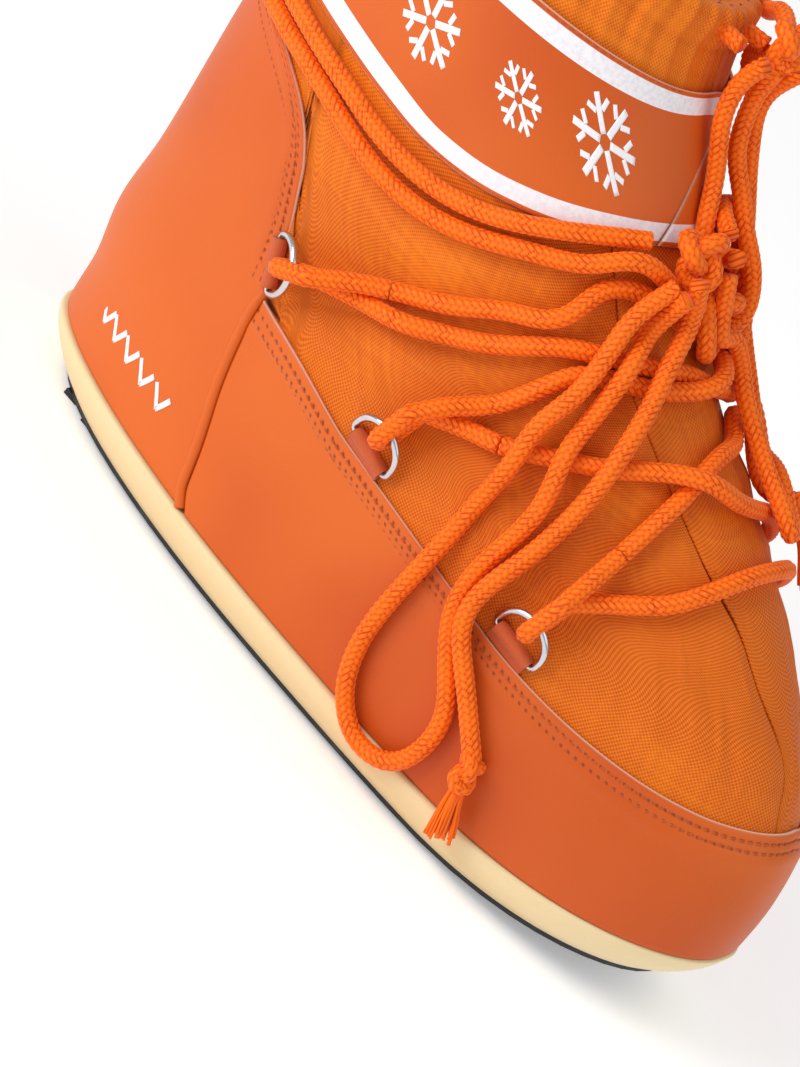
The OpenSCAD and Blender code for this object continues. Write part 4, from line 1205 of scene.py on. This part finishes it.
class SNOWBOOT_OT_sole(Operator):
    """Makes the moulded sole wall and the footbed"""

    bl_idname = "snowboot.sole"
    bl_label = "Sole"

    def execute(self, context):
        rows = np.array([(3.5, 9, 13, 4), (6.5, 4, 7, 0.5), (10.5, 0, 1, -1.4),
                         (13.5, -1.6, -1.5, -2.2), (15.2, -2, -2, -2.2), (16, -1.2, -1.2, -1.4)])
        levels = np.linspace(0, 1, 44)
        at = np.array([0, 0.22, 0.5, 0.74, 0.9, 1.0])
        table = [[curve(np.stack([at, rows[:, k]], -1), v) for k in range(4)] for v in levels]
        loops = np.array([sole_loop(*row) for row in table])
        loft_piece(loops, "midsole_wall", MATERIALS["sole"], "cream_polyurethane",
                   replaces=("midsole",))
        low = SOLE_WALL + 2.4
        bed = [(low, 1.2), (low + 0.8, 0), (low + 3.6, 0), (low + 4.6, 0.5), (low + 5, 1.6)]
        loops = np.array([sole_loop(z, 0, 0, 0, FOOT_IN - inset) for z, inset in bed])
        loft_piece(loops, "footbed_felt", MATERIALS["felt"], "felt", replaces=("footbed",))
        return {"FINISHED"}


# ---------------------------------------------------------------- overlays

def eased(u, count):
    """Even steps from 0 to 1 with extra ones close to each end."""
    inner = np.linspace(0, 1, count)
    return np.unique(np.r_[inner, u, 1 - np.asarray(u)])


def leather_wave(t, z, seed):
    """Gentle unevenness of an overlay's surface, in millimetres."""
    return 0.3 * ripple(t * 1.1, z, seed, 70, 2)


def overlay_piece(name, t, z, flat, node, sewn=True, thick=OVERLAY, low=0.0,
                  material="overlay", seed=1):
    """Panel of leatherette over a chart grid: full thickness inside and rounded down over the
    last millimetre before its border. Where it is sewn, the stitch rows press two grooves and
    the border is marked as cut."""
    rows, columns = t.shape
    place = lofted(t, z)
    along = np.linalg.norm(np.diff(place, axis=1), axis=-1)
    across = np.linalg.norm(np.diff(place, axis=0), axis=-1)
    run = np.concatenate([np.zeros((rows, 1)), np.cumsum(along, 1)], 1)
    rise = np.concatenate([np.zeros((1, columns)), np.cumsum(across, 0)], 0)
    edge = np.minimum(rise, rise[-1:] - rise)
    edge = np.minimum(edge, np.minimum(run, run[:, -1:] - run))
    rounding = np.clip(1 - edge / 1.2, 0, 1) ** 2 * 0.55
    out = thick - rounding + leather_wave(t, z, seed)
    raw = edge
    if sewn:
        raw = flat[..., 1] / MM
        out = out - sum(0.25 * np.exp(-(((raw - row) / 0.8) ** 2)) for row in (3.4, 6.6))
        out = out + 0.35 * np.exp(-(((raw - 9.5) / 3.0) ** 2))
    outer, inner = upper(t, z, out), upper(t, z, np.full_like(t, low))
    points, quads = closed_panel(outer, inner)
    cut = np.clip(1 - raw / 0.5, 0, 1).ravel()
    uv = np.concatenate([flat.reshape(-1, 2)] * 2)
    return new_piece(name, points, quads, MATERIALS[material], "overlay_leatherette", uv=uv,
                     marks={"cut": np.r_[cut, cut]}, replaces=(node,))


def mudguard_chart(u, v):
    w = 2 * u - 1
    t0 = 111 * w
    z0 = sole_line(t0) + (curve(MUDGUARD_TOP, np.abs(t0)) - sole_line(t0)) * v
    t = w * (curve(COUNTER_EDGE, z0) - 0.55)
    low = sole_line(t) + 0.5
    return t, low + (curve(MUDGUARD_TOP, np.abs(t)) - low) * v


def counter_chart(u, v):
    z = SOLE_WALL + 0.5 + (149.6 - SOLE_WALL - 0.5) * (1 - (1 - v) ** 1.7)
    s = curve(COUNTER_EDGE, z) + 0.3 * np.clip((89 - z) / 8, 0, 1)
    return s + (360 - 2 * s) * u, z


def band_end(z):
    return -22 + 36 * (z - 182) / 40


def band_chart(start, end):
    """Chart of an ankle band between two functions of height."""
    def chart(u, v):
        z0 = 172 + 47 * v
        t0 = start(z0) + (end(z0) - start(z0)) * u
        low, high = curve(BAND_BOTTOM, np.abs(t0)), curve(BAND_TOP, np.abs(t0))
        z1 = low + (high - low) * v
        t = start(z1) + (end(z1) - start(z1)) * u
        low, high = curve(BAND_BOTTOM, np.abs(t)), curve(BAND_TOP, np.abs(t))
        return t, low + (high - low) * v
    return chart


FINE = (0.0008, 0.002, 0.004, 0.008)


class SNOWBOOT_OT_overlays(Operator):
    """Makes the mudguard, heel counter, side piping and the two halves of the ankle band"""

    bl_idname = "snowboot.overlays"
    bl_label = "Overlays"

    def execute(self, context):
        u, v = np.meshgrid(eased(FINE, 420), eased((0.004, 0.008, 0.02), 70))
        t, z = mudguard_chart(u, v)
        flat = metric_map(upper(t, z, OVERLAY), u.shape[1] // 2, -1)
        flat[..., 1] *= -1
        overlay_piece("mudguard_leather", t, z, flat, "mudguard", material="stitched", seed=3)

        u, v = np.meshgrid(eased(FINE, 240), eased((0.002, 0.005), 120))
        t, z = counter_chart(u, v)
        place = upper(t, z, OVERLAY)
        map_up = metric_map(place, u.shape[1] // 2, -1)
        left, right = metric_map(place, 0, 0), metric_map(place, -1, 0)
        side = np.minimum(np.abs(left[..., 0]), np.abs(right[..., 0]))
        side = side + 200 * MM * blend_in(92, 86, z)
        by_side = side < np.abs(map_up[..., 1])
        flat = np.stack([np.where(by_side, left[..., 1], map_up[..., 0]),
                         np.where(by_side, side, np.abs(map_up[..., 1]))], -1)
        overlay_piece("heel_counter_leather", t, z, flat, "heel_counter", material="stitched",
                      seed=5)

        for side_name, sign in (("right", -1), ("left", 1)):
            level = np.linspace(SOLE_WALL + 0.8, 87, 140)
            height = 0.9 - 1.2 * blend_in(82, 87, level)
            line = upper(sign * (curve(COUNTER_EDGE, level) + 0.5), level, height)
            plain_tube(f"piping_{side_name}_roll", line, 1.9, 20, MATERIALS["overlay"],
                       "overlay_leatherette", marks={"cut": np.zeros(1)},
                       replaces=(f"piping_{side_name}",))
        u, v = np.meshgrid(eased(FINE, 260), eased((0.004, 0.01, 0.02), 70))
        halves = {"right": band_chart(lambda q: -179.7 + 0 * q, band_end),
                  "left": band_chart(lambda q: band_end(q) + 0.6, lambda q: 179.7 + 0 * q)}
        for name, chart in halves.items():
            t, z = chart(u, v)
            place = upper(t, z, OVERLAY)
            low, high = metric_map(place, 0, 0)[..., 1], -metric_map(place, 0, -1)[..., 1]
            flat = np.stack([low, high], -1)
            overlay_piece(f"ankle_band_{name}_leather", t, z, flat, f"ankle_band_{name}",
                          sewn=False, low=0.3, material="printed", seed=8)
        return {"FINISHED"}


# ---------------------------------------------------------------- padded shell

def shell_top(t):
    return curve(BAND_TOP, np.abs(t)) - 4


def quarter_chart(u, v):
    """Right quarter: from the back to the vamp seam, between the overlays and the collar."""
    back = -179.7
    low0 = curve(SHELL_BOTTOM, -(back + (-30 - back) * u))
    t0 = back + (-30 - back) * u
    z0 = low0 + (shell_top(t0) - low0) * v
    for _ in range(2):
        t = back + (-curve(VAMP_EDGE, z0) - 0.4 - back) * u
        low = curve(SHELL_BOTTOM, -t)
        z0 = low + (shell_top(t) - low) * v
    return t, z0


def vamp_chart(u, v):
    w = 2 * u - 1
    z = 72 + 146 * v
    for _ in range(2):
        t = w * curve(VAMP_EDGE, z)
        low = curve(SHELL_BOTTOM, np.abs(t))
        z = low + (shell_top(t) - low) * v
    return t, z


def shell_height(t, z, depth, seed):
    """Swelling of the padded shell above its base surface: none at the overlays and seams, full
    between them, pressed flat under the laces, with long soft wrinkles and puckers at the seams."""
    side = np.abs(t)
    pace = np.linalg.norm(lofted(t + 0.5, z) - lofted(t - 0.5, z), axis=-1)
    to_guard = np.where(side < 113, z - curve(MUDGUARD_TOP, side), 60)
    to_band = curve(BAND_BOTTOM, side) - z
    to_counter = np.where(z < 151, (curve(COUNTER_EDGE, z) - side) * pace,
                          z - 150 + 0 * side)
    to_counter = np.where(side > 108, np.abs(to_counter), 60)
    seam = np.abs(side - curve(VAMP_EDGE, z)) * pace
    cross = np.abs(z - curve(CROSS_SEAM, side)) * np.where(side > 22, 1, 9)
    swell = (blend_in(0.5, 13, to_guard) * blend_in(0.5, 12, to_band)
             * blend_in(0.5, 12, to_counter))
    swell = swell * (0.35 + 0.65 * blend_in(0, 9, seam)) * (0.5 + 0.5 * blend_in(0, 9, cross))
    run = t * pace
    wrinkle = ripple(run, z * 1.6, seed, 42, 3)
    folds = np.clip(ripple(run * 1.5, z * 0.8, seed + 4, 26, 2) - 0.15, 0, 1)
    puckers = 0.16 * np.sin(z * 1.45) * np.exp(-((seam / 6) ** 2))
    height = depth * swell * (0.75 + 0.25 * wrinkle) + 0.5 * swell * folds + puckers * swell
    height = height * clear_of_laces(upper(t, z, SHELL_OUT))
    height = height - 0.5 * np.exp(-((seam / 0.9) ** 2)) - 0.45 * np.exp(-((cross / 0.8) ** 2))
    return height


class SNOWBOOT_OT_shell(Operator):
    """Makes the padded woven shell: two quarters and the vamp panel between them"""

    bl_idname = "snowboot.shell"
    bl_label = "Padded Shell"

    def panel(self, name, t, z, node, seed):
        depth = sizes().padding / MM
        height = shell_height(t, z, depth, seed)
        outer = upper(t, z, SHELL_OUT + height)
        inner = upper(t, z, np.full_like(t, SHELL_IN))
        points, quads = closed_panel(outer, inner)
        flat = metric_map(lofted(t, z), t.shape[1] // 2, t.shape[0] // 2).reshape(-1, 2)
        piece = new_piece(name, points, quads, MATERIALS["nylon"], "woven_nylon",
                          uv=np.concatenate([flat, flat]), replaces=(node,))

    def execute(self, context):
        u, v = np.meshgrid(np.linspace(0, 1, 330), np.linspace(0, 1, 190))
        t, z = quarter_chart(u, v)
        self.panel("quarter_right_weave", t, z, "quarter_right", 11)
        self.panel("quarter_left_weave", -t[:, ::-1], z[:, ::-1], "quarter_left", 12)
        u, v = np.meshgrid(np.linspace(0, 1, 110), np.linspace(0, 1, 260))
        t, z = vamp_chart(u, v)
        self.panel("vamp_weave", t, z, "vamp_panel", 13)
        return {"FINISHED"}


class SNOWBOOT_OT_collar(Operator):
    """Makes the gathered collar and its drawstring channel"""

    bl_idname = "snowboot.collar"
    bl_label = "Collar"

    def execute(self, context):
        count = 420
        t = 360 * np.arange(count) / count
        low = curve(BAND_TOP, np.where(t > 180, 360 - t, t)) - 3.5
        share = np.linspace(0, 1, 40)
        ring = np.linspace(0, np.pi / 2, 7)[1:-1]
        outs, levels = [], []
        for s in share:
            outs.append(np.full(count, SHELL_OUT + 0.15))
            levels.append(low + (243.5 - low) * s)
        for a in ring:
            outs.append(np.full(count, SHELL_OUT - 3.5 + 3.5 * math.cos(a)))
            levels.append(np.full(count, 243.5 + 3.5 * math.sin(a)))
        for s in np.linspace(0, 1, 4):
            outs.append(np.full(count, SHELL_OUT - 3.5 + (HEM_IN + 3.5 - SHELL_OUT + 3.5) * s))
            levels.append(np.full(count, RIM))
        for a in ring[::-1]:
            outs.append(np.full(count, HEM_IN + 3.5 - 3.5 * math.cos(a)))
            levels.append(np.full(count, 243.5 + 3.5 * math.sin(a)))
        for s in np.linspace(0, 1, 10):
            outs.append(np.full(count, HEM_IN))
            levels.append(243.5 + (HEM_BOTTOM - 243.5) * s + 0 * t)
        out, level = np.array(outs), np.array(levels)
        around = np.broadcast_to(t, out.shape)
        folds = sizes().gathers
        phase = np.radians(around) * folds + 0.9 * np.sin(np.radians(around) * 5 + 0.7)
        pull = blend_in(0, 1, (level - low) / 26)
        gather = (0.9 * np.sin(phase) + 0.35 * np.sin(2.3 * phase + 1)) * (0.25 + 0.75 * pull)
        channel = 0.7 * np.exp(-(((level - 234) / 1.1) ** 2))
        roll = 0.6 * np.exp(-(((level - 240.5) / 3.5) ** 2))
        outer_side = out > -5
        out = out + np.where(outer_side, gather - 0.9 - channel + roll, 0.3 * gather)
        outer = upper(around, level, out)
        inner = upper(around, np.minimum(level, RIM - 1.5),
                      np.clip(out, HEM_IN + 1.1, SHELL_IN) - 0.0)
        rows = len(out)
        loop = np.concatenate([outer, inner[::-1]])
        total = len(loop)
        j, i = np.meshgrid(np.arange(total), np.arange(count), indexing="ij")
        nj, ni = (j + 1) % total, (i + 1) % count
        quads = np.stack([j * count + i, j * count + ni, nj * count + ni, nj * count + i],
                         -1).reshape(-1, 4)
        rise = np.concatenate([np.zeros((1, count)),
                               np.cumsum(np.linalg.norm(np.diff(outer, axis=0), axis=-1), 0)])
        run = np.broadcast_to(t * 1.25, (rows, count))
        flat = np.stack([run, rise], -1) * MM
        uv = np.concatenate([flat, flat[::-1]]).reshape(-1, 2)
        piece = new_piece("collar_weave", loop.reshape(-1, 3), quads, MATERIALS["nylon"],
                          "woven_nylon", uv=uv, replaces=("collar",))
        return {"FINISHED"}


class SNOWBOOT_OT_lining(Operator):
    """Makes the fleece lining and finishes the layers hidden in the wall"""

    bl_idname = "snowboot.lining"
    bl_label = "Lining"

    def execute(self, context):
        t = 360 * np.arange(300) / 300
        u, v = np.meshgrid(t, np.linspace(0, 1, 150))
        level = sole_line(u) + 0.3 + (HEM_BOTTOM - 1 - sole_line(u) - 0.3) * v
        nap = 0.28 * ripple(u * 1.6, level, 21, 9, 3)
        outer = upper(u, level, np.full_like(u, FLEECE_OUT))
        inner = upper(u, level, FLEECE_IN + 0.2 + np.minimum(nap, 0.3))
        points, quads = closed_panel(outer, inner, True)
        piece = new_piece("fleece_nap", points, quads, MATERIALS["fleece"], "fleece",
                          replaces=("fleece_lining",))
        for node, key in (("outsole", "rubber"), ("insole_board", "board"), ("foam_liner", "foam"),
                          ("heel_stiffener", "board"), ("toe_puff", "board")):
            mesh = nodes[node].data
            mesh.materials.clear()
            mesh.materials.append(MATERIALS[key])
        return {"FINISHED"}


# ---------------------------------------------------------------- stitches and prints

class SNOWBOOT_OT_stitches(Operator):
    """Sews the double rows round the mudguard, heel counter and ankle bands and by the seams"""

    bl_idname = "snowboot.stitches"
    bl_label = "Stitches"

    def sew(self, name, t, z, rows, turn, lift=OVERLAY, thick=0.36, material="thread"):
        pitch = sizes().stitch_pitch / MM
        places = stitch_places(t, z, rows, turn, lift - 0.12, pitch)
        stitch_piece(name, places, pitch * 0.40, thick, MATERIALS[material],
                     "overlay_leatherette" if lift > 0.5 else "woven_nylon")

    def execute(self, context):
        t = np.linspace(-107, 107, 700)
        self.sew("mudguard_stitches", t, curve(MUDGUARD_TOP, np.abs(t)), (3.4, 6.6), -1)
        for name, sign in (("right", -1), ("left", 1)):
            z = np.linspace(87, 150.3, 400)
            side = curve(COUNTER_EDGE, z)
            self.sew(f"counter_stitches_{name}", sign * side, z, (3.4, 6.6),
                     1 if sign < 0 else -1)
            z = np.linspace(90, 158, 260)
            self.sew(f"vamp_seam_stitches_{name}", sign * curve(VAMP_EDGE, z), z, (2.2,),
                     -1 if sign < 0 else 1, SHELL_OUT + 0.3, 0.26, "yarn")
        for name, table, turn in (("low", BAND_BOTTOM, 1), ("high", BAND_TOP, -1)):
            for part, (start, end) in (("right", (-178, -16)), ("left", (8, 178))):
                t = np.linspace(start, end, 600)
                z = curve(table, np.abs(t))
                if part == "right":
                    keep = t < band_end(z) - 2
                else:
                    keep = t > band_end(z) + 3
                self.sew(f"band_{name}_stitches_{part}", t[keep], z[keep], (0.9,), turn,
                         OVERLAY - 0.1, 0.28)
        return {"FINISHED"}


class SNOWBOOT_OT_prints(Operator):
    """Prints plain snowflakes round the ankle band and small chevrons on the heel counter"""

    bl_idname = "snowboot.prints"
    bl_label = "Prints"

    def execute(self, context):
        for name, sign in (("right", -1), ("left", 1)):
            flakes = []
            for number, t in enumerate((-44, -70, -96, -122, -148)):
                middle = 0.5 * (curve(BAND_BOTTOM, abs(t)) + curve(BAND_TOP, abs(t)))
                size = 12.0 if number % 2 == 0 else 9.0
                flakes += snowflake(-sign * t, middle, size, 12 * number)
            points, quads = join_parts(flakes)
            new_piece(f"flake_print_{name}", points, quads, MATERIALS["print"],
                      "overlay_leatherette")
            marks = []
            for number in range(7):
                t = sign * (154.0 - 5.2 * number)
                for lean in (55, 125):
                    marks.append(strip_on_upper(t, 31.5, lean, -0.3, 7.4, 0.85, seed=5))
            points, quads = join_parts(marks)
            new_piece(f"chevron_print_{name}", points, quads, MATERIALS["print"],
                      "overlay_leatherette")
        return {"FINISHED"}


# ---------------------------------------------------------------- stage

def aim(place, at):
    """Turn that points an object's -Z from place to at."""
    return (at - place).to_track_quat("-Z", "Y")


def area_light(name, place, at, size, power, tint=(1, 1, 1)):
    lamp = bpy.data.lights.new(name, "AREA")
    lamp.shape, lamp.size, lamp.energy, lamp.color = "SQUARE", size, power, tint
    light = bpy.data.objects.new(name, lamp)
    light.location = place
    light.rotation_mode = "QUATERNION"
    light.rotation_quaternion = aim(Vector(place), Vector(at))
    bpy.context.scene.collection.objects.link(light)


class SNOWBOOT_OT_stage(Operator):
    """Mixes the finishes and sets the camera, soft studio light and a plain pale floor"""

    bl_idname = "snowboot.stage"
    bl_label = "Stage"

    def materials(self):
        tones = paint()
        leather, deep = tuple(tones.leather), tuple(tones.leather_deep)
        MATERIALS.update(
            overlay=leatherette("overlay_leatherette", leather, deep),
            stitched=leatherette("overlay_leatherette_sewn", leather, deep,
                                 stitched=sizes().stitch_pitch / MM),
            printed=leatherette("overlay_leatherette_banded", leather, deep, printed=True),
            nylon=woven_nylon("woven_nylon", tuple(tones.nylon), tuple(tones.nylon_gap_shade),
                              tuple(tones.nylon_streak_and_sheen)),
            cord=braided_cord("lace_cord", tuple(tones.cord), tuple(tones.cord_gap_shade),
                              tuple(tones.cord_crown_highlight)),
            sole=moulded_sole("cream_polyurethane"), rubber=tread_rubber("tread_rubber"),
            steel=polished_steel("ring_steel"),
            felt=soft_cloth("felt", colour("5A5A5E"), colour("3A3A3E"), 1500, 0.0003),
            fleece=soft_cloth("fleece", colour("F2A24E"), colour("D9832A"), 420, 0.0012),
            foam=soft_cloth("foam", colour("EFE8D2"), colour("DDD3B6"), 1200, 0.0003),
            board=soft_cloth("board", colour("BCA98A"), colour("A8946F"), 700, 0.0001),
            thread=sewing_thread("sewing_thread", colour("C9591B")),
            yarn=sewing_thread("sewing_yarn", colour("DE7A14")),
            print=film_print("film_print"),
            tape=webbing_tape("webbing", colour("D0581C"), colour("B04812")))

    def camera(self):
        turn, rise, roll = (math.radians(a) for a in (14.0, 21.0, 43.4))
        target = np.array([0.020, 0.0, 0.100])
        c = np.array([math.sin(turn) * math.cos(rise), -math.cos(turn) * math.cos(rise),
                      math.sin(rise)])
        r0 = np.array([math.cos(turn), math.sin(turn), 0.0])
        u0 = np.cross(c, r0)
        right = math.cos(roll) * r0 + math.sin(roll) * u0
        up = -math.sin(roll) * r0 + math.cos(roll) * u0
        eye = target + 1.8 * c
        back = unit(eye - (target - 0.0586 * right - 0.0099 * up))
        right = unit(right - (right @ back) * back)
        up = np.cross(back, right)
        lens = bpy.data.cameras.new("camera")
        lens.lens, lens.sensor_width, lens.sensor_fit = 192.8, 36.0, "AUTO"
        lens.clip_start, lens.clip_end = 0.05, 20.0
        camera = bpy.data.objects.new("camera", lens)
        camera.matrix_world = Matrix([[right[k], up[k], back[k], eye[k]] for k in range(3)]
                                     + [[0, 0, 0, 1]])
        bpy.context.scene.collection.objects.link(camera)
        bpy.context.scene.camera = camera
        return right, up, back, target

    def execute(self, context):
        self.materials()
        right, up, back, target = self.camera()
        scene = bpy.context.scene
        scene.view_settings.view_transform = "Standard"
        world = bpy.data.worlds.new("studio")
        scene.world = world
        world.use_nodes = True
        sky = world.node_tree.nodes["Background"]
        sky.inputs["Color"].default_value = (1.0, 1.0, 1.0, 1.0)
        sky.inputs["Strength"].default_value = 0.50
        key = target + 2.0 * (-0.45 * right + 0.70 * up + 0.75 * back)
        area_light("key_light", key, target, 1.3, 29.0)
        fill = target + 1.5 * (0.85 * right - 0.1 * up + 0.6 * back)
        area_light("fill_light", fill, target, 1.2, 4.0)
        web = Web("floor_paper")
        grain = web.noise(40, 3)
        paper = web.finish(Base_Color=web.mix(grain, colour("FFFFFF"), colour("FBFBFB")),
                           Roughness=0.85 + 0.1 * grain, Emission_Color=(1.0, 1.0, 1.0, 1.0),
                           Emission_Strength=0.30)
        mesh = bpy.data.meshes.new("floor")
        mesh.from_pydata([(-6, -6, 0), (6, -6, 0), (6, 6, 0), (-6, 6, 0)], [], [(0, 1, 2, 3)])
        mesh.materials.append(paper)
        floor = bpy.data.objects.new("floor", mesh)
        scene.collection.objects.link(floor)
        return {"FINISHED"}


# ---------------------------------------------------------------- panel and run

STEPS = (SNOWBOOT_OT_stage, SNOWBOOT_OT_free_cords, SNOWBOOT_OT_laces, SNOWBOOT_OT_rings,
         SNOWBOOT_OT_sole, SNOWBOOT_OT_overlays, SNOWBOOT_OT_shell, SNOWBOOT_OT_collar,
         SNOWBOOT_OT_lining, SNOWBOOT_OT_stitches, SNOWBOOT_OT_prints)


class SNOWBOOT_PT_panel(Panel):
    """Buttons for each group of pieces, in building order, and their settings"""

    bl_idname = "SNOWBOOT_PT_panel"
    bl_label = "Padded Snow Boot"
    bl_space_type = "VIEW_3D"
    bl_region_type = "UI"
    bl_category = "Snow Boot"

    def draw(self, context):
        for group in (context.scene.snowboot_sizes, context.scene.snowboot_colours):
            box = self.layout.box()
            for key in group.__annotations__:
                box.prop(group, key)
        for step in STEPS:
            self.layout.operator(step.bl_idname)


CLASSES = (SNOWBOOT_PG_colours, SNOWBOOT_PG_sizes) + STEPS + (SNOWBOOT_PT_panel,)


def register():
    for each in CLASSES:
        bpy.utils.register_class(each)
    bpy.types.Scene.snowboot_colours = PointerProperty(type=SNOWBOOT_PG_colours)
    bpy.types.Scene.snowboot_sizes = PointerProperty(type=SNOWBOOT_PG_sizes)


def unregister():
    del bpy.types.Scene.snowboot_sizes
    del bpy.types.Scene.snowboot_colours
    for each in reversed(CLASSES):
        bpy.utils.unregister_class(each)


def main():
    register()
    for step in STEPS:
        group, name = step.bl_idname.split(".")
        getattr(getattr(bpy.ops, group), name)()


if __name__ == "__main__":
    main()
